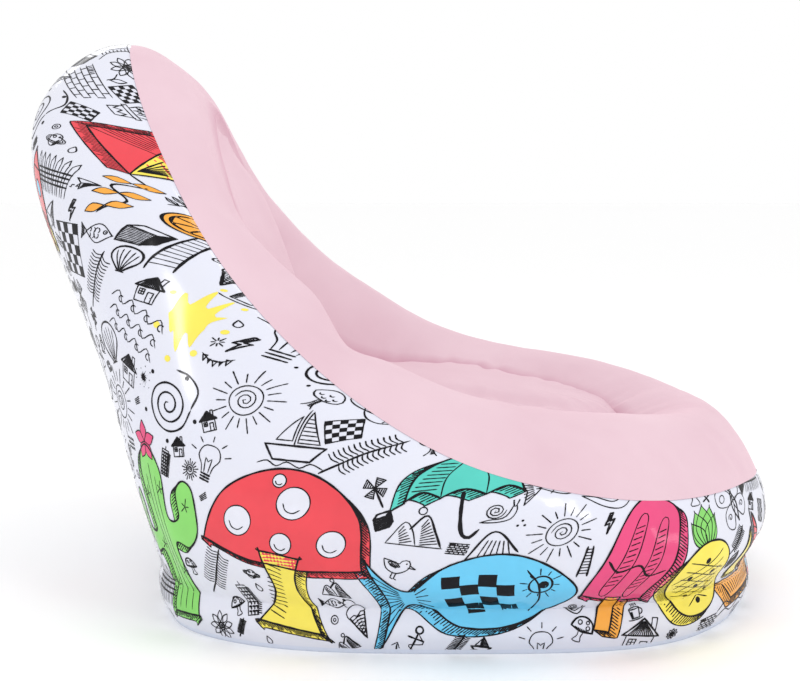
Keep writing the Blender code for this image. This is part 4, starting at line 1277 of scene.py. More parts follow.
def tulip(pen):
    bowl = mirrored([(-0.35, 0.85), (-0.35, 0.85), (-0.42, 0.3)], (0, 0.05))
    pen.curve([*bowl, (0.15, 0.6), (0, 0.95), (0, 0.95), (-0.15, 0.6)], closed=True)
    pen.hatch((-0.3, 0.3, 0, 0.1), (-0.2, 0.6, 0.08, 0.5), 5)
    pen.curve([(0, 0.05), (0.05, -0.5), (0, -1)])
    pen.leaf((0, -0.95), (-0.5, -0.05), 0.16)
    pen.leaf((0, -0.95), (0.45, -0.25), 0.16)


def pot_cactus(pen):
    pen.lines(mirrored([(-0.4, -0.3), (-0.3, -0.95)]))
    pen.lines(box(0, -0.25, 1, 0.18))
    pen.lines(up_and_down((-0.35, -0.2, -0.08, 0.08, 0.2, 0.33), -0.5, -0.25))
    pen.curve(mirrored([(-0.3, -0.15), (-0.42, 0.4)], (0, 0.95)))
    for side in (-1, 1):
        pen.curve([(side * 0.12, -0.1), (side * 0.16, 0.4), (side * 0.02, 0.8)])
    for x, y in ((-0.25, 0.2), (0.27, 0.4), (0, 0.1)):
        pen.rays(x, y, 0.02, 0.12, 5)


def toadstool(pen):
    hood = mirrored([(-0.85, 0.05), (-0.85, 0.05), (-0.6, 0.65)], (0, 0.9))
    pen.curve([*hood, (0, -0.12)], MARKER, True)
    for x, y, radius in ((-0.3, 0.45, 0.15), (0.25, 0.6, 0.12), (0.4, 0.25, 0.14)):
        pen.arc(x, y, radius)
    pen.curve([(-0.2, -0.08), (-0.15, -0.5), (-0.35, -0.9), (0.3, -0.9), (0.15, -0.5), (0.22, -0.08)])
    pen.hatch((-0.6, 0.05, 0.6, 0.05), (-0.25, -0.12, 0.25, -0.12), 9)


def tree(pen):
    pen.curve([(-0.6, -0.05), (-0.95, 0.25), (-0.7, 0.6), (-0.3, 0.9), (0.2, 0.95), (0.65, 0.75),
               (0.9, 0.35), (0.65, 0.05), (0.2, -0.1), (-0.2, -0.1)], closed=True)
    pen.curve([(-0.12, -0.1), (-0.12, -0.6), (-0.35, -0.98)])
    pen.curve([(0.14, -0.1), (0.14, -0.6), (0.4, -0.98)])
    for x, y in ((-0.5, 0.35), (0, 0.55), (0.45, 0.4), (-0.15, 0.2), (0.25, 0.15)):
        pen.arc(x, y, 0.14, 200, 360)
    pen.hatch((0, -0.15, 0, -0.85), (0.14, -0.15, 0.18, -0.85), 7)


def feather(pen):
    pen.curve([(-0.85, -0.85), (-0.2, -0.25), (0.45, 0.5), (0.8, 0.95)], MARKER)
    for share in np.linspace(0.12, 0.95, 13):
        x, y = -0.55 + 1.3 * share, -0.55 + 1.45 * share
        pen.curve([(x, y), (x - 0.25, y + 0.05), (x - 0.42, y + 0.2)])
        pen.curve([(x, y), (x + 0.12, y - 0.22), (x + 0.35, y - 0.3)])


# %% Animals
def small_fish(pen):
    pen.leaf((-0.55, 0), (0.95, 0), 0.32)
    pen.lines([(-0.5, 0), (-0.95, 0.38), (-0.85, 0), (-0.95, -0.38), (-0.5, 0)])
    pen.arc(0.58, 0.1, 0.09)
    pen.dot(0.6, 0.1, 0.03)
    pen.arc(0.3, 0, 0.32, 120, 240)
    for x in (-0.25, 0, 0.25):
        pen.arc(x - 0.1, 0.12, 0.13, -60, 80)
        pen.arc(x - 0.1, -0.14, 0.13, -80, 60)
    pen.hatch((-0.92, 0.3, -0.92, -0.3), (-0.7, 0.15, -0.7, -0.15), 6)


def butterfly(pen):
    for side in (-1, 1):
        wing = [(0, 0.1), (side * 0.3, 0.75), (side * 0.85, 0.85), (side * 0.9, 0.35), (side * 0.3, 0)]
        pen.curve(wing, closed=True)
        pen.curve([(0, 0), (side * 0.6, -0.1), (side * 0.7, -0.6), (side * 0.3, -0.8)], closed=True)
        pen.arc(side * 0.6, 0.5, 0.15)
        pen.spiral(side * 0.42, -0.4, 0.14, 1.5)
        pen.curve([(0, 0.4), (side * 0.12, 0.75), (side * 0.3, 0.95)])
    pen.leaf((0, -0.75), (0, 0.45), 0.12, MARKER)


def snail(pen):
    pen.spiral(-0.1, 0.15, 0.55, 3)
    pen.curve([(-0.9, -0.5), (-0.4, -0.42), (0.3, -0.42), (0.6, -0.1), (0.75, 0.35), (0.95, 0.3),
               (0.95, -0.1), (0.7, -0.55), (0, -0.65), (-0.9, -0.5)])
    pen.lines([(0.78, 0.35), (0.72, 0.72)])
    pen.lines([(0.9, 0.35), (1, 0.7)])
    pen.dot(0.72, 0.75, 0.05)
    pen.dot(1, 0.73, 0.05)


def bird(pen):
    pen.curve([(-0.9, 0.15), (-0.9, 0.15), (-0.5, -0.35), (0.1, -0.5), (0.55, -0.15), (0.6, 0.2), (0.4, 0.45),
               (0.1, 0.35), (0, 0.1), (-0.4, 0.15)], closed=True)
    pen.lines([(0.58, 0.22), (0.95, 0.1), (0.56, 0.05)])
    pen.dot(0.38, 0.25, 0.05)
    pen.leaf((0.15, -0.05), (-0.6, 0.05), 0.2)
    pen.hatch((-0.45, 0.1, 0.05, 0), (-0.4, -0.1, 0, -0.2), 6)
    pen.lines([(-0.05, -0.48), (-0.05, -0.85), (0.1, -0.9)])
    pen.lines([(0.15, -0.48), (0.15, -0.85), (0.3, -0.9)])


def shell(pen):
    rim = mirrored([(-0.15, -0.8), (-0.15, -0.8), (-0.85, -0.1), (-0.8, 0.45), (-0.35, 0.8)])
    pen.curve(rim, MARKER, True)
    for x in (-0.6, -0.32, 0, 0.32, 0.6):
        pen.curve([(x * 0.15, -0.75), (x * 0.8, 0), (x, 0.65 - x * x * 0.6)])
    pen.lines([(-0.3, -0.85), (0.3, -0.85)])


# %% Things
def paper_plane(pen):
    pen.lines([(-0.95, 0.1), (0.95, 0.75), (0.1, -0.75), (-0.2, -0.15), (-0.95, 0.1)])
    pen.lines([(-0.2, -0.15), (0.95, 0.75)])
    pen.lines([(-0.2, -0.15), (-0.3, -0.65), (0.02, -0.45)])
    pen.hatch((0, 0, 0.85, 0.68), (0.12, -0.6, 0.8, 0.58), 9)
    pen.curve([(-0.5, -0.6), (-0.8, -0.75), (-0.7, -0.95), (-0.95, -1)])


def boat(pen):
    pen.lines([(-0.85, -0.25), (0.9, -0.25), (0.55, -0.7), (-0.55, -0.7), (-0.85, -0.25)], MARKER)
    pen.lines([(0, -0.25), (0, 0.95)])
    pen.lines([(0.08, -0.15), (0.08, 0.9), (0.7, -0.15), (0.08, -0.15)])
    pen.lines([(-0.08, -0.1), (-0.08, 0.7), (-0.55, -0.1), (-0.08, -0.1)])
    pen.hatch((0.12, 0.7, 0.12, -0.1), (0.2, 0.7, 0.65, -0.1), 6)
    pen.curve([(-1, -0.85), (-0.7, -0.75), (-0.4, -0.9), (-0.1, -0.75), (0.3, -0.9), (0.6, -0.75), (1, -0.9)])


def balloon(pen):
    pen.curve(mirrored([(-0.14, -0.35), (-0.6, 0.15), (-0.62, 0.6)], (0, 1)))
    for side in (-1, 1):
        pen.curve([(side * 0.06, -0.33), (side * 0.28, 0.3), (0, 1)])
    pen.lines([(-0.14, -0.35), (0.14, -0.35), (0.12, -0.65), (-0.12, -0.65), (-0.14, -0.35)])
    pen.lines(box(0, -0.8, 0.3, 0.26), MARKER)
    pen.hatch((-0.12, -0.7, 0.12, -0.7), (-0.12, -0.9, 0.12, -0.9), 4)


def pinwheel(pen):
    hub = np.array((0, 0.25))
    for x, y in spokes(4, 20):
        way, beside = np.array((x, y)), np.array((x - y, y + x))
        pen.lines([hub, hub + way * 0.7, hub + beside * 0.45, hub])
        pen.hatch((hub + way * 0.1, hub + way * 0.65), (hub + beside * 0.07, hub + beside * 0.42), 4)
    pen.dot(0, 0.25, 0.08)
    pen.lines([(0, 0.2), (0.05, -1)], MARKER)


def bulb(pen):
    pen.curve(mirrored([(-0.22, -0.45), (-0.3, -0.1), (-0.52, 0.25), (-0.3, 0.68)]))
    for y in (-0.45, -0.57, -0.69):
        pen.lines([(-0.22, y), (0.22, y - 0.04)], MARKER)
    pen.curve(mirrored([(-0.1, -0.4), (-0.15, 0.2)], (0, 0.05)))
    for x, y in spokes(9, 10)[:5]:
        pen.lines([(x * 0.72, y * 0.6 + 0.3), (x * 0.98, y * 0.75 + 0.36)])


def cup(pen):
    pen.lines([(-0.6, 0.2), (-0.45, -0.75), (0.35, -0.75), (0.5, 0.2)])
    pen.arc(-0.05, 0.2, 0.55, squash=0.2)
    pen.arc(0.5, -0.2, 0.28, -100, 100)
    pen.hatch((-0.55, -0.1, -0.45, -0.7), (-0.3, -0.1, -0.28, -0.7), 8)
    for x in (-0.3, -0.05, 0.2):
        pen.curve([(x, 0.4), (x + 0.1, 0.58), (x - 0.06, 0.75), (x + 0.06, 0.95)])
    pen.arc(-0.05, -0.8, 0.8, 185, 355, 0.15)


def house(pen):
    pen.lines(box(0, -0.4, 1.3, 1))
    pen.lines([(-0.85, 0.1), (0, 0.85), (0.85, 0.1), (-0.85, 0.1)], MARKER)
    pen.lines(box(-0.3, -0.25, 0.34, 0.34))
    pen.lines([(-0.3, -0.42), (-0.3, -0.08)])
    pen.lines([(-0.47, -0.25), (-0.13, -0.25)])
    pen.lines(box(0.28, -0.55, 0.34, 0.68))
    pen.dot(0.38, -0.55, 0.03)
    pen.lines([(0.35, 0.55), (0.35, 0.9), (0.58, 0.9), (0.58, 0.35)])
    pen.hatch((-0.65, 0.12, 0.65, 0.12), (-0.08, 0.72, 0.08, 0.72), 12)


def tower(pen):
    pen.lines(box(0, -0.05, 0.75, 1.9))
    for row in range(7):
        for column in (-0.2, 0.04, 0.24):
            y = 0.7 - row * 0.25
            pen.lines([(column - 0.06, y), (column + 0.06, y), (column + 0.06, y - 0.12)], MARKER)
    pen.hatch((0.38, 0.85, 0.38, -0.95), (0.6, 0.75, 0.6, -1), 16)
    pen.lines([(0, 0.9), (0, 1.15)])


def ladder(pen):
    pen.lines([(-0.3, -1), (-0.15, 1)], MARKER)
    pen.lines([(0.3, -1), (0.18, 1)], MARKER)
    pen.hatch((-0.29, -0.9, -0.15, 0.95), (0.29, -0.9, 0.18, 0.95), 9)


def fence(pen):
    for x in np.linspace(-0.9, 0.9, 7):
        pen.lines([(x - 0.09, -0.6), (x - 0.09, 0.4), (x, 0.6), (x + 0.09, 0.4), (x + 0.09, -0.6)])
    pen.hatch((-1, 0.2, -1, -0.35), (1, 0.2, 1, -0.35), 4, MARKER)


def bricks(pen):
    for row in range(6):
        y = 0.55 - row * 0.22
        pen.lines([(-0.9, y), (0.9, y)])
        start = -0.75 if row % 2 else -0.55
        if row < 5:
            for x in np.arange(start, 0.95, 0.42):
                pen.lines([(x, y), (x, y - 0.22)])
    pen.hatch((-0.85, 0.5, -0.3, 0.5), (-0.85, 0.36, -0.3, 0.36), 6)


def cube(pen):
    pen.lines(box(-0.15, -0.2, 1.1, 1.1), MARKER)
    pen.lines([(-0.7, 0.35), (-0.3, 0.75), (0.8, 0.75), (0.4, 0.35)], MARKER)
    pen.lines([(0.8, 0.75), (0.8, -0.35), (0.4, -0.75)], MARKER)
    pen.hatch((0.42, 0.3, 0.42, -0.7), (0.78, 0.7, 0.78, -0.3), 12)
    pen.hatch((-0.65, 0.3, -0.65, -0.7), (0.35, 0.3, 0.35, -0.7), 9)


def checker(pen):
    for row in range(5):
        for column in range(5):
            if (row + column) % 2 == 0:
                x, y = -0.8 + column * 0.32, -0.8 + row * 0.32
                pen.fill(box(x + 0.16, y + 0.16, 0.32, 0.32)[:-1], "black", STROKE, smooth=False)
    pen.lines(box(0, 0, 1.6, 1.6))


def gem(pen):
    pen.lines([(-0.5, 0.6), (0.5, 0.6), (0.9, 0.15), (0, -0.85), (-0.9, 0.15), (-0.5, 0.6)], MARKER)
    pen.lines([(-0.9, 0.15), (0.9, 0.15)])
    pen.lines([(-0.5, 0.6), (-0.3, 0.15), (0, 0.6), (0.3, 0.15), (0.5, 0.6)])
    pen.lines([(-0.3, 0.15), (0, -0.85), (0.3, 0.15)])
    pen.hatch((0.35, 0.1, 0.85, 0.1), (0.05, -0.75, 0.1, -0.72), 6)


def bunting(pen):
    pen.curve([(-1, 0.5), (-0.4, 0.12), (0.3, 0.1), (1, 0.5)])
    for number, x in enumerate((-0.75, -0.4, -0.02, 0.35, 0.72)):
        top = 0.1 + 0.5 * x * x
        flag = [(x - 0.15, top), (x + 0.15, top), (x, top - 0.42)]
        if number % 2:
            pen.fill(flag, "black", STROKE, smooth=False)
        else:
            pen.lines(flag + flag[:1])


def glasses(pen):
    for side in (-1, 1):
        pen.arc(side * 0.48, 0, 0.36, width=MARKER)
    pen.curve(mirrored([(-0.13, 0.08)], (0, 0.17)), MARKER)
    for side in (-1, 1):
        pen.curve([(side * 0.84, 0.05), (side, 0.25), (side, 0.45)])
    pen.hatch((-0.7, 0.15, -0.55, -0.28), (-0.4, 0.3, -0.22, -0.1), 5)
    pen.hatch((0.26, 0.15, 0.42, -0.28), (0.56, 0.3, 0.75, -0.1), 5)


def ice_cream(pen):
    pen.lines([(-0.38, 0.05), (0, -1), (0.38, 0.05)], MARKER)
    for side in (-1, 1):
        pen.hatch((side * 0.36, 0, side * 0.05, -0.85), (side * -0.1, 0.05, side * -0.1, -0.7), 6)
    scoop = mirrored([(-0.42, 0.05), (-0.45, 0.35), (-0.15, 0.5)])
    pen.curve([*scoop, (0.2, 0.12), (0, 0), (-0.2, 0.12)], closed=True)
    pen.arc(0, 0.62, 0.3, -20, 200)
    pen.dot(0, 0.95, 0.08)


def anchor(pen):
    pen.arc(0, 0.78, 0.16, width=MARKER)
    pen.lines([(0, 0.6), (0, -0.85)], MARKER)
    pen.lines([(-0.35, 0.35), (0.35, 0.35)], MARKER)
    pen.curve(mirrored([(-0.7, -0.25), (-0.5, -0.7)], (0, -0.9)), MARKER)
    pen.lines([(-0.9, -0.4), (-0.7, -0.15), (-0.5, -0.42)])
    pen.lines([(0.5, -0.42), (0.7, -0.15), (0.9, -0.4)])
    pen.curve([(0.05, 0.6), (0.4, 0.2), (-0.2, -0.1), (0.3, -0.4), (-0.1, -0.7)])


def waves(pen):
    for row in (0.45, 0, -0.45):
        pen.curve(up_and_down(np.linspace(-1, 1, 9), row, 0.28))
        for x in (-0.6, -0.1, 0.4, 0.88):
            pen.arc(x, row + 0.1, 0.09, 60, 300)


def hills(pen):
    pen.curve([(-1, -0.5), (-0.6, 0.35), (-0.25, 0.1), (0.05, -0.5)])
    pen.curve([(-0.35, 0.1), (0.1, 0.7), (0.55, 0.1), (0.95, -0.5)], MARKER)
    pen.lines([(-1, -0.52), (1, -0.52)])
    pen.hatch((0.12, 0.6, 0.8, -0.4), (0.02, 0.3, 0.2, -0.5), 9)
    pen.hatch((-0.62, 0.25, -0.1, -0.4), (-0.7, 0, -0.5, -0.5), 6)
    pen.arc(-0.1, 0.85, 0.14)


PEN_MOTIFS = (
    cloud, sun, moon, planet, sprig, daisy, tulip, pot_cactus, toadstool, tree, feather, small_fish,
    butterfly, snail, bird, shell, paper_plane, boat, balloon, pinwheel, bulb, cup, house, tower,
    ladder, fence, bricks, cube, checker, gem, bunting, glasses, ice_cream, anchor, waves, hills,
    splash, brush_sweep, swirl, bolt,
)


# %% Small fillers
def ring_dots(pen):
    pen.arc(0, 0, 0.6)
    pen.arc(0, 0, 0.22)


def little_rays(pen):
    pen.rays(0, 0, 0.3, 1, 8)


def crossed(pen):
    pen.lines([(-0.7, -0.7), (0.7, 0.7)], MARKER)
    pen.lines([(-0.7, 0.7), (0.7, -0.7)], MARKER)


def curl(pen):
    pen.spiral(0, 0, 0.9, 2)


def three_dots(pen):
    for x, y in spokes(3) * 0.6:
        pen.dot(x, y, 0.22)


def dashes(pen):
    pen.hatch((-0.8, 0.5, -0.8, -0.5), (0.8, 0.7, 0.6, -0.5), 4)


def little_leaf(pen):
    pen.leaf((-0.9, -0.5), (0.9, 0.5), 0.3)
    pen.lines([(-0.9, -0.5), (0.5, 0.28)])


def drop(pen):
    pen.curve([(0, 1), (0, 1), (-0.5, -0.1), (0, -0.7), (0.5, -0.1)], closed=True)


FILLERS = (ring_dots, little_rays, crossed, curl, three_dots, dashes, little_leaf, drop)

# %% [markdown]
# ### Coloured blocks
# The large motifs stand in a row along the lower half. Each is a thick cut-out in one bright ink,
# with pen work on its face.


# %% Blocks of the near side
LEFT_DOWN = (-15, -11)  # how the thick sides run, in millimetres on the paper
RIGHT_DOWN = (14, -11)


def big_cactus(pen):
    pen.block(
        [(-0.26, -1), (-0.26, -0.32), (-0.5, -0.32), (-0.8, -0.12), (-0.8, 0.25), (-0.66, 0.38),
         (-0.52, 0.25), (-0.5, -0.02), (-0.26, 0), (-0.26, 0.68), (0, 0.95), (0.26, 0.68),
         (0.26, 0.2), (0.5, 0.22), (0.52, 0.5), (0.66, 0.62), (0.8, 0.5), (0.8, 0.1), (0.55, -0.12),
         (0.26, -0.14), (0.26, -1), (0.26, -1), (-0.26, -1)], "green", LEFT_DOWN,
    )
    for x in (-0.13, 0, 0.13):
        pen.curve([(x, -0.95), (x * 0.9, 0), (x * 0.9, 0.75 - abs(x))], level=DETAIL)
    spines = ((-0.2, 0.4), (0.2, 0.5), (-0.2, -0.2), (0.2, -0.45), (-0.2, -0.7), (-0.66, 0.1), (0.66, 0.35))
    for x, y in spines:
        pen.rays(x, y, 0.01, 0.09, 5, level=DETAIL)
    for x, y in spokes(5, 90) * 0.15:
        pen.leaf((0, 0.98), (x * 1.5, y * 1.5 + 0.98), 0.3, ink="magenta", level=COLOUR)


def big_toadstool(pen):
    pen.block(
        [(-0.22, 0.02), (-0.14, -0.5), (-0.42, -0.95), (-0.42, -0.95), (0.42, -0.95), (0.42, -0.95),
         (0.16, -0.5), (0.24, 0.02), (0.24, 0.02), (-0.22, 0.02)], "yellow", RIGHT_DOWN,
    )
    pen.hatch((-0.12, -0.1, -0.3, -0.85), (0.02, -0.15, -0.1, -0.9), 12, level=DETAIL)
    hood = mirrored([(-0.95, 0), (-0.95, 0), (-0.72, 0.58), (-0.25, 0.9)])
    pen.block([*hood, (0.45, -0.1), (0, -0.13), (-0.45, -0.1)], "red", RIGHT_DOWN)
    big_spots = ((-0.5, 0.3, 0.16), (0.05, 0.6, 0.17), (0.55, 0.25, 0.15))
    for x, y, radius in (*big_spots, (0.02, 0.15, 0.12), (-0.15, 0.8, 0.07)):
        pen.fill(spokes(10) * radius + (x, y), "white", COLOUR)
        pen.arc(x, y, radius, level=TOP)
        pen.arc(x, y, radius * 0.6, 190, 330, level=TOP)


def big_fish(pen):
    pen.block(
        [(-0.98, 0.5), (-0.98, 0.5), (-0.6, 0.1), (-0.2, 0.42), (0.3, 0.5), (0.75, 0.28), (0.98, 0),
         (0.75, -0.26), (0.3, -0.44), (-0.2, -0.4), (-0.6, -0.1), (-0.98, -0.52), (-0.98, -0.52),
         (-0.84, 0)], "sky", LEFT_DOWN,
    )
    pen.arc(0.62, 0.12, 0.11, level=DETAIL, width=MARKER)
    pen.dot(0.65, 0.12, 0.05, level=DETAIL)
    pen.rays(0.62, 0.12, 0.13, 0.2, 11, level=DETAIL)
    pen.arc(0.2, 0, 0.42, -50, 50, level=DETAIL, width=MARKER)
    for column in range(4):
        for row in range(4):
            x, y = 0.3 - column * 0.16, 0.24 - row * 0.15 - 0.03 * (column % 2)
            if (column + row) % 2:
                pen.fill(box(x, y, 0.16, 0.15)[:-1], "black", DETAIL, smooth=False)
    pen.hatch((-0.95, 0.4, -0.95, -0.42), (-0.68, 0.1, -0.68, -0.1), 9, level=DETAIL)
    pen.hatch((-0.4, 0.3, -0.4, -0.3), (-0.52, 0.12, -0.52, -0.12), 6, level=DETAIL)
    pen.curve([(-0.1, 0.45), (0.1, 0.75), (0.35, 0.52)], MARKER)
    pen.hatch((-0.02, 0.48, 0.3, 0.52), (0.05, 0.66, 0.25, 0.64), 6)


def big_pineapple(pen):
    for way, reach in ((60, 0.5), (120, 0.5), (75, 0.62), (105, 0.62), (90, 0.68)):
        tip = reach * spokes(1, way)[0] + (0, 0.38)
        pen.leaf((0, 0.34), tip, 0.24, ink="green", level=UNDER)
    sides = mirrored([(0.42, 0.3), (0.55, -0.2), (0.38, -0.78)], (0, -0.95))
    pen.block([(0, 0.46), *sides], "yellow", LEFT_DOWN)
    pen.hatch((-0.3, 0.34, -0.46, -0.5), (0.5, -0.02, 0.16, -0.84), 6, level=DETAIL)
    pen.hatch((0.3, 0.34, 0.46, -0.5), (-0.5, -0.02, -0.16, -0.84), 6, level=DETAIL)
    for x, y in ((0, 0.2), (-0.2, -0.05), (0.2, -0.05), (0, -0.3), (-0.2, -0.55), (0.2, -0.52), (0, -0.75)):
        pen.dot(x, y, 0.045, level=DETAIL)


def big_lolly(pen):
    stick = [(-0.09, -0.4), (-0.09, -1), (0.11, -1), (0.11, -0.4)]
    pen.block(stick, "orange", RIGHT_DOWN, smooth=False)
    ice = mirrored([(-0.4, -0.45), (-0.4, -0.45), (-0.42, 0.45), (-0.3, 0.85)], (0, 0.97))
    pen.block([*ice, (0, -0.47)], "magenta", RIGHT_DOWN)
    groove = mirrored([(-0.06, -0.3), (-0.07, 0.55)], (0, 0.72))
    for x in (-0.16, 0.16):
        pen.curve([(x + across, up) for across, up in groove], closed=True, level=DETAIL)
        pen.hatch((x - 0.05, 0.55, x - 0.05, -0.25), (x + 0.04, 0.6, x + 0.04, -0.2), 12, level=DETAIL)
    pen.curve(mirrored([(-0.38, 0.1), (-0.2, 0)], (0, 0.12)), MARKER, level=TOP)


def big_umbrella(pen):
    dome = mirrored([(-0.95, -0.05), (-0.95, -0.05), (-0.75, 0.5), (-0.3, 0.85)])
    hem = mirrored([(0.65, 0.1), (0.35, -0.05), (0.35, -0.05)], (0, 0.1))
    pen.block(dome + hem, "teal", LEFT_DOWN)
    for side in (-1, 1):
        pen.curve([(side * 0.35, -0.03), (side * 0.3, 0.45), (0, 0.88)], level=DETAIL)
    pen.hatch((-0.85, 0.1, -0.45, 0.75), (-0.45, 0.1, -0.2, 0.75), 8, level=DETAIL)
    pen.curve([(0, 0.05), (0.02, -0.75), (0.16, -0.95), (0.34, -0.8)], BRUSH)
    pen.lines([(0, 0.85), (0, 1.02)], MARKER)


def big_boat(pen):
    hull = [(-0.9, -0.35), (0.95, -0.35), (0.6, -0.85), (-0.55, -0.85)]
    pen.block(hull, "orange", LEFT_DOWN, smooth=False)
    pen.hatch((-0.8, -0.45, 0.85, -0.45), (-0.55, -0.78, 0.6, -0.78), 16, level=DETAIL)
    pen.lines([(0, -0.35), (0, 0.98)], BRUSH)
    pen.block([(0.08, -0.22), (0.72, -0.18), (0.08, 0.9)], "red", (8, -6), smooth=False)
    pen.hatch((0.1, 0.7, 0.1, -0.15), (0.22, 0.62, 0.62, -0.12), 7, level=DETAIL)
    pen.block([(-0.08, -0.22), (-0.08, 0.7), (-0.6, -0.18)], "yellow", (-8, -6), smooth=False)
    for row in (-0.95, -1.08):
        pen.curve(up_and_down((-1, -0.75, -0.5, -0.2, 0.1, 0.4, 0.7, 1), row, 0.1))


# %% More blocks
def big_ring(pen):
    pen.fill(spokes(20), "pale_blue", FACE)
    pen.arc(0, 0, 1, width=MARKER, level=DETAIL)
    for way in range(0, 360, 60):
        inner, outer = spokes(1, way)[0], spokes(1, way + 24)[0]
        band = [inner * 0.52, inner, spokes(1, way + 12)[0] * 1.01, outer, outer * 0.52]
        pen.fill(band, "red", COLOUR, smooth=False)
    pen.fill(spokes(16) * 0.5, "white", DETAIL)
    pen.arc(0, 0, 0.5, width=MARKER, level=TOP)
    pen.curve([(-1.05, 0.3), (-1.1, 0.8), (-0.4, 1.15), (0.3, 1.05)])
    pen.spiral(0, 0, 0.3, 2, level=TOP)


def big_kite(pen):
    pen.block([(0, 1), (0.68, 0.3), (0.05, -0.72), (-0.62, 0.2)], "red", LEFT_DOWN, smooth=False)
    pen.lines([(0, 1), (0.05, -0.72)], level=TOP)
    pen.lines([(-0.62, 0.2), (0.68, 0.3)], level=TOP)
    pen.fill([(0.03, 0.27), (0.68, 0.3), (0.05, -0.72)], "yellow", COLOUR, smooth=False)
    pen.hatch((0.08, 0.2, 0.6, 0.24), (0.07, -0.55, 0.1, -0.5), 9, level=DETAIL)
    pen.hatch((-0.52, 0.28, -0.08, 0.85), (-0.05, 0.28, -0.04, 0.8), 9, level=DETAIL)
    pen.curve([(0.05, -0.72), (0.25, -0.95), (0, -1.2), (0.2, -1.5), (-0.05, -1.8)], MARKER)
    for x, y in ((0.13, -0.98), (0.1, -1.35), (0.03, -1.68)):
        pen.leaf((x, y), (x + 0.24, y + 0.1), 0.3, ink="orange", level=OVER)
        pen.leaf((x, y), (x - 0.24, y - 0.06), 0.3, ink="orange", level=OVER)


def big_orange(pen):
    pen.fill(spokes(20), "orange", FACE)
    pen.arc(0, 0, 1, width=MARKER, level=DETAIL)
    pen.arc(0, 0, 0.82, level=DETAIL)
    for way in range(0, 360, 45):
        a, b = spokes(1, way)[0], spokes(1, way + 45)[0]
        pen.curve([a * 0.15, a * 0.74, (a + b) * 0.41, b * 0.74, b * 0.15, b * 0.15], level=DETAIL)


def big_splash(pen):
    random = pen.paper.random
    tips = spokes(9, 15) * random.uniform(0.6, 1.0, (9, 1)) * (0.6, 1.1)
    dips = spokes(9, 35) * random.uniform(0.34, 0.46, (9, 1))
    pen.fill(np.stack([tips, dips], axis=1).reshape(-1, 2), "yellow", UNDER)
    for x, y in spokes(7, 40) * random.uniform(0.95, 1.2, (7, 1)) * (0.7, 1):
        pen.dot(x, y, random.uniform(0.05, 0.1), "yellow", UNDER)


def big_rocket(pen):
    pen.block([(-0.22, -0.55), (0, -1.05), (0.22, -0.55)], "orange", (-6, -5), smooth=False)
    for side in (-1, 1):
        fin = [(side * 0.25, -0.1), (side * 0.62, -0.55), (side * 0.25, -0.5)]
        pen.block(fin, "yellow", LEFT_DOWN, smooth=False)
    body = mirrored([(0.26, 0.6), (0.32, 0.1), (0.26, -0.55), (0.26, -0.55)])
    pen.block([(0, 1), (0, 1), *body], "red", LEFT_DOWN)
    pen.fill(spokes(14) * 0.15 + (0, 0.32), "sky", COLOUR)
    pen.arc(0, 0.32, 0.15, width=MARKER, level=DETAIL)
    pen.hatch((-0.26, -0.1, -0.24, -0.5), (0.28, -0.1, 0.24, -0.5), 7, level=DETAIL)
    pen.lines([(-0.2, 0.68), (0.2, 0.68)], MARKER, level=DETAIL)


def big_melon(pen):
    rind = mirrored([(-0.95, 0.45), (-0.95, 0.45), (-0.8, -0.15), (-0.35, -0.6)])
    pen.block([*rind, (0, 0.42)], "green", RIGHT_DOWN)
    flesh = mirrored([(-0.78, 0.4), (-0.78, 0.4), (-0.62, -0.08), (-0.28, -0.4)])
    pen.fill([*flesh, (0, 0.38)], "red", COLOUR)
    high_seeds = ((-0.5, 0.2), (-0.2, 0.22), (0.15, 0.2), (0.48, 0.2))
    for x, y in (*high_seeds, (-0.32, -0.05), (0, -0.05), (0.3, -0.05), (0, -0.26)):
        pen.leaf((x, y + 0.06), (x, y - 0.06), 0.28, ink="black", level=DETAIL)


def big_flower(pen):
    pen.curve([(0, -0.1), (0.08, -0.6), (-0.05, -1.05)], BRUSH, level=UNDER)
    pen.leaf((0.05, -0.9), (0.6, -0.5), 0.22, ink="green", level=UNDER)
    petals = [way * reach + (0, 0.2) for way, reach in zip(spokes(14, 90), (0.8, 0.45) * 7)]
    pen.block(petals, "magenta", LEFT_DOWN)
    pen.fill(spokes(14) * 0.26 + (0, 0.2), "yellow", COLOUR)
    pen.arc(0, 0.2, 0.26, width=MARKER, level=TOP)
    for way in spokes(7, 90):
        pen.lines([way * 0.32 + (0, 0.2), way * 0.6 + (0, 0.2)], level=DETAIL)
    for x, y in spokes(6) * 0.14:
        pen.dot(x, y + 0.2, 0.035, level=TOP)
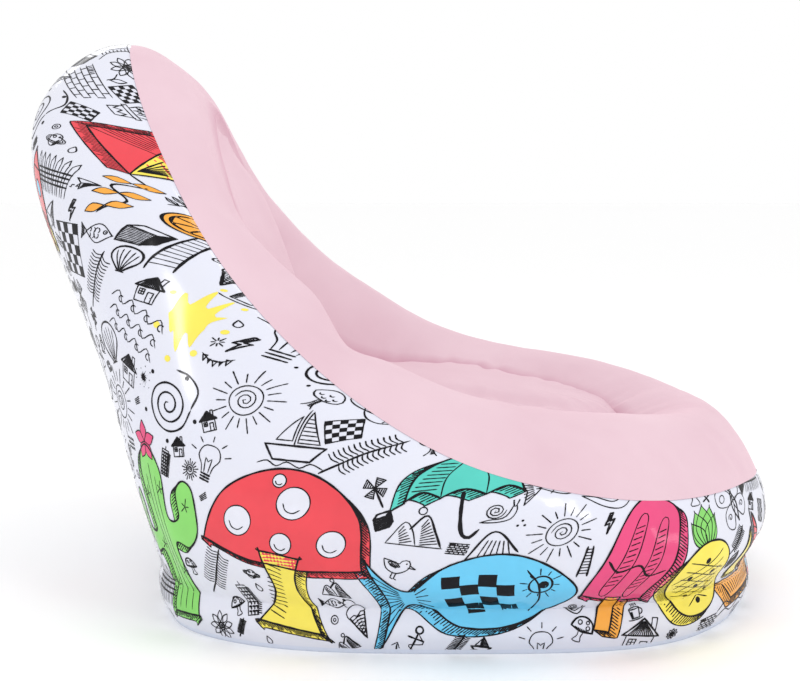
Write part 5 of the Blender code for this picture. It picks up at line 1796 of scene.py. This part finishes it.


# %% [markdown]
# ### Layout
# The blocks are set one by one. The pen motifs then fill the rest from large to small: each is thrown
# at a random place and kept where the paper is still free.

# %% Set the blocks and fill the paper
RIGHT_BLOCKS = (
    (big_cactus, 0.395, 0.165, 0.13, 3), (big_toadstool, 0.63, 0.16, 0.128, -8),
    (big_fish, 0.895, 0.105, 0.14, 6), (big_umbrella, 0.845, 0.262, 0.068, 12),
    (big_lolly, 1.095, 0.15, 0.115, -12), (big_pineapple, 1.215, 0.135, 0.1, 10),
    (big_boat, 1.35, 0.12, 0.085, 4), (big_ring, 1.46, 0.06, 0.04, 0),
    (big_melon, 1.585, 0.115, 0.07, -8), (big_kite, 0.262, 0.775, 0.098, 18),
    (big_orange, 0.385, 0.655, 0.032, 0), (big_splash, 0.47, 0.47, 0.055, 0),
    (big_flower, 0.13, 0.2, 0.1, 5), (big_rocket, 0.12, 0.62, 0.09, -20),
)
LEFT_BLOCKS = (
    (big_ring, 1.745, 0.09, 0.045, 0), (big_flower, 1.86, 0.12, 0.085, -8),
    (big_pineapple, 2.02, 0.14, 0.105, -8), (big_melon, 2.2, 0.12, 0.09, 12),
    (big_rocket, 2.39, 0.16, 0.115, 14), (big_toadstool, 2.58, 0.16, 0.11, 5),
    (big_boat, 2.79, 0.17, 0.11, -6), (big_umbrella, 2.62, 0.32, 0.075, 20),
    (big_lolly, 2.97, 0.16, 0.085, 8), (big_kite, 3.07, 0.76, 0.085, -15),
    (big_splash, 2.86, 0.45, 0.05, 20), (big_orange, 2.98, 0.5, 0.035, 0),
    (big_fish, 3.16, 0.48, 0.1, -20), (big_cactus, 3.27, 0.7, 0.08, 0),
)
SIZE_CLASSES = (  # half size, tries, motifs
    (50 * MM, 700, PEN_MOTIFS), (38 * MM, 3000, PEN_MOTIFS), (29 * MM, 6000, PEN_MOTIFS),
    (22 * MM, 9000, PEN_MOTIFS), (16 * MM, 9000, PEN_MOTIFS), (9 * MM, 5000, FILLERS),
)
LOWEST_MOTIF = 14 * MM
CLEAR_SHARE = 0.66  # of a motif's reach that has to be free: most are not round
MOST_TURN = 28  # degrees
SEAM_ROW = 2  # of a wall's grid


def draw_paper(paper, wall, blocks):
    """Listed blocks, then pen motifs wherever they fit."""
    for motif, x, y, size, turn in blocks:
        motif(Pen(paper, (x, y), size, turn))
    across, seam_height = wall.paper[SEAM_ROW, :, 0], wall.paper[SEAM_ROW, :, 1]
    placed = 0
    for size, tries, motifs in SIZE_CLASSES:
        for number in range(tries):
            x = paper.random.uniform(across[0], across[-1])
            y = paper.random.uniform(LOWEST_MOTIF, np.interp(x, across, seam_height) + size / 2)
            scale = size * paper.random.uniform(0.85, 1.15)
            if paper.is_free(np.array((x, y)), scale * CLEAR_SHARE):
                motif = motifs[(placed * 7 + number) % len(motifs)]
                motif(Pen(paper, (x, y), scale, paper.random.uniform(-MOST_TURN, MOST_TURN)))
                placed += 1
    return placed


papers = []
for wall, blocks, seed in ((right_wall, RIGHT_BLOCKS, 5), (left_wall, LEFT_BLOCKS, 8)):
    paper = Paper(wall.paper[0, 0, 0], wall.paper[0, -1, 0], seed)
    if wall is left_wall:
        gaps = np.linalg.norm(wall.outer - valve_seat, axis=2)
        valve_place = wall.paper[np.unravel_index(gaps.argmin(), gaps.shape)][:2]
        print("valve on the paper at", valve_place.round(3))
        for reach in np.arange(0, VALVE_FLAT, CELL):
            paper.take(valve_place + spokes(60) * reach)
    placed = draw_paper(paper, wall, blocks)
    papers.append(paper)
    print(wall.piece.name, placed, "motifs,", sum(len(faces) for faces in paper.faces.values()), "faces")

# %% [markdown]
# ### Laying the print on the walls
# A geometry nodes tree does what a press does: for every point of a flat mark it finds the same
# place on the wall's paper map, and moves the point there, a hair above the vinyl. Marks that run
# off the sheet are cut off with it.

# %% The press
BED_PLACE = "paper_place"
BED_NORMAL = "skin_normal"
PRINT_MARGIN = 9 * MM


def press_tree():
    """The tree, and the identifiers of its inputs by their names."""
    tree = bpy.data.node_groups.new("press", "GeometryNodeTree")
    sockets = {}
    for label, kind in (("Marks", "Geometry"), ("Bed", "Object"), ("Ink", "Material")):
        socket = tree.interface.new_socket(label, in_out="INPUT", socket_type=f"NodeSocket{kind}")
        sockets[label] = socket.identifier
    tree.interface.new_socket("Print", in_out="OUTPUT", socket_type="NodeSocketGeometry")
    press = Nodes(tree)
    marks = press.node("NodeGroupInput", {}, {}, "Marks")
    bed = press.node("GeometryNodeObjectInfo", {}, {"Object": marks.sibling("Bed")}, "Geometry")
    vector = {"data_type": "FLOAT_VECTOR"}
    named = "GeometryNodeInputNamedAttribute"
    place = press.node(named, vector, {"Name": BED_PLACE}, "Attribute")
    normal = press.node(named, vector, {"Name": BED_NORMAL}, "Attribute")
    position = press.node("GeometryNodeInputPosition", {}, {}, "Position")
    height = press.node("ShaderNodeSeparateXYZ", {}, {"Vector": position}, "Z")
    look = "GeometryNodeSampleUVSurface"
    where = {"Mesh": bed, "Source UV Map": place, "Sample UV": position}
    on_skin = press.node(look, vector, {**where, "Value": position}, "Value")
    up = press.node(look, vector, {**where, "Value": normal}, "Value")
    scaled, added, turned_over = ({"operation": word} for word in ("SCALE", "ADD", "NOT"))
    lift = press.node("ShaderNodeVectorMath", scaled, {"Vector": up, "Scale": height}, "Vector")
    target = press.node("ShaderNodeVectorMath", added, {0: on_skin, 1: lift}, "Vector")
    is_on = on_skin.sibling("Is Valid")
    off_sheet = press.node("FunctionNodeBooleanMath", turned_over, {0: is_on}, "Boolean")
    shape = marks
    for kind, settings, inputs in (
        ("GeometryNodeDeleteGeometry", {"domain": "POINT"}, {"Selection": off_sheet}),
        ("GeometryNodeSetPosition", {}, {"Position": target}),
        ("GeometryNodeRealizeInstances", {}, {}),
        ("GeometryNodeSetMaterial", {}, {"Material": marks.sibling("Ink")}),
    ):
        shape = press.node(kind, settings, {"Geometry": shape, **inputs}, "Geometry")
    tree.links.new(shape.socket, tree.nodes.new("NodeGroupOutput").inputs["Print"])
    return tree, sockets


# %% Lay every ink
def press_bed(name, wall):
    """The outer side of a wall as one open grid that knows its place on the paper."""
    bed = new_piece(name, wall.outer, grid_faces(*wall.outer.shape[:2]))
    for label, values in ((BED_PLACE, wall.paper), (BED_NORMAL, wall.normals)):
        layer = bed.data.attributes.new(label, "FLOAT_VECTOR", "POINT")
        layer.data.foreach_set("vector", values.astype(np.float32).ravel())
    return bed


def trim(piece, low, high):
    """Cuts flat marks off along straight lines: low and high are corners of the paper."""
    shape = bmesh.new()
    shape.from_mesh(piece.data)
    for corner, ways in ((low, ((-1, 0, 0), (0, -1, 0))), (high, ((1, 0, 0),))):
        for way in ways:
            everything = [*shape.verts, *shape.edges, *shape.faces]
            bmesh.ops.bisect_plane(
                shape, geom=everything, plane_co=(*corner, 0), plane_no=way, clear_outer=True
            )
    shape.to_mesh(piece.data)
    shape.free()


def lay(flat, tree, sockets, bed, ink_material):
    """Runs the press on one ink and keeps the plain mesh."""
    press = flat.modifiers.new("press", "NODES")
    press.node_group = tree
    press[sockets["Bed"]] = bed
    press[sockets["Ink"]] = ink_material
    graph = bpy.context.evaluated_depsgraph_get()
    laid = bpy.data.meshes.new_from_object(flat.evaluated_get(graph))
    flat.modifiers.clear()
    flat.data = laid
    laid.shade_smooth()


BLACK_COAT = 0.45  # heavy black ink lies thick on the vinyl and shines less
INK_SHADE = 0.93
ink_finishes = {}
for ink, levels in INK_COLOURS.items():
    darker = colour(*(value * INK_SHADE for value in levels))
    coat = BLACK_COAT if ink == "black" else CLEAR_COAT
    ink_finishes[ink] = vinyl(f"{ink}_ink", colour(*levels), darker, coat=coat)
tree, sockets = press_tree()
prints = []
seen_ends = ((-SIDE_LAP, HALF_AROUND + SIDE_LAP), (HALF_AROUND + SIDE_LAP, AROUND - SIDE_LAP))
for side, wall, paper, ends in zip(("right", "left"), walls, papers, seen_ends):
    bed = press_bed(f"{side}_bed", wall)
    for ink, finish in ink_finishes.items():
        flat = new_piece(f"{side}_print_{ink}", np.array(paper.points[ink]), paper.faces[ink])
        trim(flat, (ends[0], PRINT_MARGIN), (ends[1], 0))
        lay(flat, tree, sockets, bed, finish.material)
        prints.append(flat)
    bpy.data.objects.remove(bed)
print(len(prints), "prints,", sum(len(piece.data.polygons) for piece in prints), "faces")

# %% [markdown]
# ## Valve
# The valve is moulded in soft clear-white vinyl, so every edge is rounded and the sheet round it is
# pressed in fine rings where the tool welded it. The pieces are turned on the valve's axis, with
# straps and lugs laid on, in the same sizes as the solids that they stand for.

# %% Valve sizes and shapes
SOCKET_BORE, SOCKET_OUTSIDE, SOCKET_TOP, SOCKET_DEPTH = 19 * MM, 22 * MM, 5 * MM, 9 * MM
FLANGE_RADIUS, FLANGE_TOP, FLANGE_LOW = 32 * MM, -0.75 * MM, -1.95 * MM
PATCH_BORE, PATCH_RADIUS, PATCH_LOW, PATCH_TOP = 22.3 * MM, 33 * MM, 0.3 * MM, 0.75 * MM
PLUG, PLUG_TIP, PLUG_LOW = 18.7 * MM, 17.5 * MM, -4 * MM
RIM_RADIUS, RIM_LOW, RIM_TOP = 24 * MM, 5.3 * MM, 7.3 * MM
PORT_BORE, PORT_OUTSIDE, PORT_LIP = 9 * MM, 11.5 * MM, 9.3 * MM
GROOVE_RADIUS, GROOVE_FLOOR = 15.3 * MM, -2.5 * MM
CAP_RADIUS, CAP_LOW, CAP_TOP, BOSS, BOSS_TIP = 13 * MM, 9.6 * MM, 11.4 * MM, 8.7 * MM, 7.6 * MM
BOSS_LOW, BOSS_HOLLOW, CAP_TAB_END, CAP_TAB_WIDTH = 3.6 * MM, 6 * MM, 20 * MM, 9 * MM
FLAP_RADIUS, FLAP_LOW, FLAP_TOP = 11.2 * MM, -5.1 * MM, -4.3 * MM
STRAP_WIDTH, STRAP_SHEET, STRAP_SINK = 8 * MM, 1 * MM, 1.5 * MM
STOPPER_HINGE, CAP_HINGE, FLAP_HINGE = 28 * MM, -17.5 * MM, 12.3 * MM
SOFT_EDGE = 0.45 * MM
PLATE_CORNER = 2.2 * MM
PRESS_DEPTH = 0.16 * MM
TURN_STEPS = 96
GRIP_RIBS = 24

valve_reach = unit(np.array((-valve_out[1], valve_out[0], 0.0)))
valve_axes = np.array((valve_reach, np.cross(valve_out, valve_reach), valve_out))


def rounded(outline, radius=SOFT_EDGE, steps=4):
    """An outline with an arc at every corner off the axis, as wide as its shorter side allows."""
    outline = np.asarray(outline, float)
    before, after = np.roll(outline, 1, 0) - outline, np.roll(outline, -1, 0) - outline
    points = []
    for corner, back, ahead in zip(outline, before, after):
        reach = min(radius, 0.45 * np.linalg.norm(back), 0.45 * np.linalg.norm(ahead))
        if abs(corner[0]) < MERGE:
            points.append(corner)
            continue
        start = corner + unit(back) * reach
        end = corner + unit(ahead) * reach
        for share in np.linspace(0, 1, steps + 1):
            points.append(start * (1 - share) ** 2 + 2 * corner * share * (1 - share) + end * share**2)
    return np.array(points)


def turned(outline, grip=0.0):
    """A (radius, height) outline spun round the valve's axis. Grip ribs the widest edge."""
    angles = np.arange(TURN_STEPS) * 2 * math.pi / TURN_STEPS
    radii, heights = np.abs(outline[:, 0]), outline[:, 1]
    ribs = grip * (0.5 - 0.5 * np.cos(GRIP_RIBS * angles))[:, None] * (radii > radii.max() - SOFT_EDGE)
    reach = radii - ribs
    places = [reach * np.cos(angles)[:, None], reach * np.sin(angles)[:, None]]
    points = np.stack([*places, np.broadcast_to(heights, reach.shape)], axis=2)
    count = len(outline)
    faces = []
    for step in range(TURN_STEPS):
        here, there = step * count, (step + 1) % TURN_STEPS * count
        for i in range(count):
            j = (i + 1) % count
            if radii[i] + radii[j] > MERGE:
                faces.append((here + i, there + i, there + j, here + j))
    return points.reshape(-1, 3), faces


def plate(start, end, width, low, high, edge=0.3 * MM):
    """A flat strap along the reach with round corners and softened edges."""
    corners = ((start, -width / 2), (end, -width / 2), (end, width / 2), (start, width / 2))
    outline = rounded(corners, PLATE_CORNER, 6)
    inwards = unit(outline.mean(0) - outline)
    rows = []
    for inset, height in ((edge, low), (0, low + edge), (0, high - edge), (edge, high)):
        rows.append(np.column_stack([outline + inwards * inset, np.full(len(outline), height)]))
    count = len(outline)
    faces = [tuple(range(count)), tuple(range(3 * count, 4 * count))]
    for row in range(3):
        for i in range(count):
            j = (i + 1) % count
            faces.append((row * count + i, row * count + j, (row + 1) * count + j, (row + 1) * count + i))
    return np.concatenate(rows), faces


def valve_piece(name, *shapes):
    """Closed shapes in the valve's own frame, joined as one piece on the chair."""
    points, faces, first = [], [], 0
    for shape_points, shape_faces in shapes:
        points.append(shape_points @ valve_axes + valve_seat)
        faces += [[first + i for i in face] for face in shape_faces]
        first += len(shape_points)
    piece = new_piece(name, np.concatenate(points), faces)
    close_up(piece, math.radians(40))
    piece.data.materials.append(valve_vinyl.material)
    return piece


# %% Turn the valve
press_radii = np.linspace(31.6 * MM, 23.6 * MM, 13)
press_rings = [(radius, PATCH_TOP - PRESS_DEPTH * (step % 2)) for step, radius in enumerate(press_radii)]
patch_outline = [(PATCH_BORE, PATCH_LOW), (PATCH_RADIUS, PATCH_LOW), (PATCH_RADIUS, PATCH_TOP)]
patch_outline = np.array(patch_outline + press_rings + [(PATCH_BORE, PATCH_TOP)])
socket = [
    (SOCKET_BORE, -SOCKET_DEPTH), (SOCKET_OUTSIDE, -SOCKET_DEPTH), (SOCKET_OUTSIDE, FLANGE_LOW),
    (FLANGE_RADIUS, FLANGE_LOW), (FLANGE_RADIUS, FLANGE_TOP), (SOCKET_OUTSIDE, FLANGE_TOP),
    (SOCKET_OUTSIDE, SOCKET_TOP), (SOCKET_BORE, SOCKET_TOP),
]
plug = [
    (PORT_BORE, PLUG_LOW), (PLUG_TIP, PLUG_LOW), (PLUG, RIM_LOW), (RIM_RADIUS, RIM_LOW),
    (RIM_RADIUS, RIM_TOP), (GROOVE_RADIUS + 1.4 * MM, RIM_TOP), (GROOVE_RADIUS, RIM_TOP - 0.8 * MM),
    (GROOVE_RADIUS, GROOVE_FLOOR), (PORT_OUTSIDE, GROOVE_FLOOR), (PORT_OUTSIDE, PORT_LIP),
    (PORT_BORE, PORT_LIP),
]
cap = [
    (0, CAP_LOW), (BOSS_HOLLOW - 1.6 * MM, CAP_LOW), (BOSS_HOLLOW, BOSS_LOW), (BOSS_TIP, BOSS_LOW),
    (BOSS, CAP_LOW), (CAP_RADIUS, CAP_LOW), (CAP_RADIUS, CAP_TOP), (CAP_RADIUS - 2 * MM, CAP_TOP),
    (CAP_RADIUS - 2.6 * MM, CAP_TOP - 0.5 * MM), (0, CAP_TOP - 0.5 * MM),
]
flap = [(0, FLAP_LOW), (FLAP_RADIUS, FLAP_LOW), (FLAP_RADIUS, FLAP_TOP), (0, FLAP_TOP)]
tab_ribs = [
    plate(reach * MM, (reach + 0.9) * MM, 6 * MM, CAP_LOW + 1.3 * MM, CAP_LOW + 1.9 * MM, 0.2 * MM)
    for reach in (14.6, 16.2, 17.8)
]
valve_pieces = {
    "valve_patch": valve_piece("valve_ring", turned(patch_outline)),
    "valve_base": valve_piece(
        "valve_socket", turned(rounded(socket)),
        plate(SOCKET_OUTSIDE - STRAP_SINK, STOPPER_HINGE + 1.5 * MM, STRAP_WIDTH, 2 * MM, SOCKET_TOP),
    ),
    "valve_stopper": valve_piece(
        "wide_stopper", turned(rounded(plug), 0.35 * MM),
        plate(RIM_RADIUS - STRAP_SINK, STOPPER_HINGE + 0.5 * MM, STRAP_WIDTH, 5.3 * MM, 6.3 * MM),
        plate(-19 * MM, -16 * MM, STRAP_WIDTH, 5.8 * MM, 9.3 * MM),
    ),
    "valve_cap": valve_piece(
        "port_cap", turned(rounded(cap)),
        plate(CAP_HINGE - 0.5 * MM, -CAP_RADIUS + STRAP_SINK, STRAP_WIDTH, CAP_LOW, CAP_LOW + STRAP_SHEET),
        plate(CAP_RADIUS - STRAP_SINK, CAP_TAB_END, CAP_TAB_WIDTH, CAP_LOW + 0.5 * MM, CAP_LOW + 1.5 * MM),
        *tab_ribs,
    ),
    "valve_flap": valve_piece(
        "port_flap", turned(rounded(flap, 0.25 * MM)),
        plate(FLAP_RADIUS - STRAP_SINK, FLAP_HINGE + 0.4 * MM, STRAP_WIDTH, FLAP_LOW, FLAP_TOP, 0.2 * MM),
    ),
}
VALVE_BODIES = {"valve_stopper": "stopper", "valve_cap": "cap", "valve_flap": "flap"}

# %% [markdown]
# ## Hand over the pieces
# Every piece rides on the body that carries it, and where a piece takes the place of a part of the frame,
# that part is hidden.

# %% Carried-over nodes
for node_name in ("base_web", "seat_web", "back_web"):
    node_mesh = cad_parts[node_name].data
    node_mesh.materials.clear()
    node_mesh.materials.append(web_vinyl.material)

# %% Ride on the frame
for piece, node_name, slot in (
    (top_panel, "top_panel", "pink_flock"),
    (right_wall.piece, "right_wall", "printed_vinyl"),
    (left_wall.piece, "left_wall", "printed_vinyl"),
    (bottom_panel, "bottom_panel", "plain_vinyl"),
):
    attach(piece, "chair")
    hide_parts(node_name)
for piece in prints:
    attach(piece, "chair")
for node_name, piece in valve_pieces.items():
    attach(piece, VALVE_BODIES.get(node_name, "chair"))
    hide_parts(node_name)
    "web_vinyl" if node_name == "valve_patch" else "valve_vinyl"
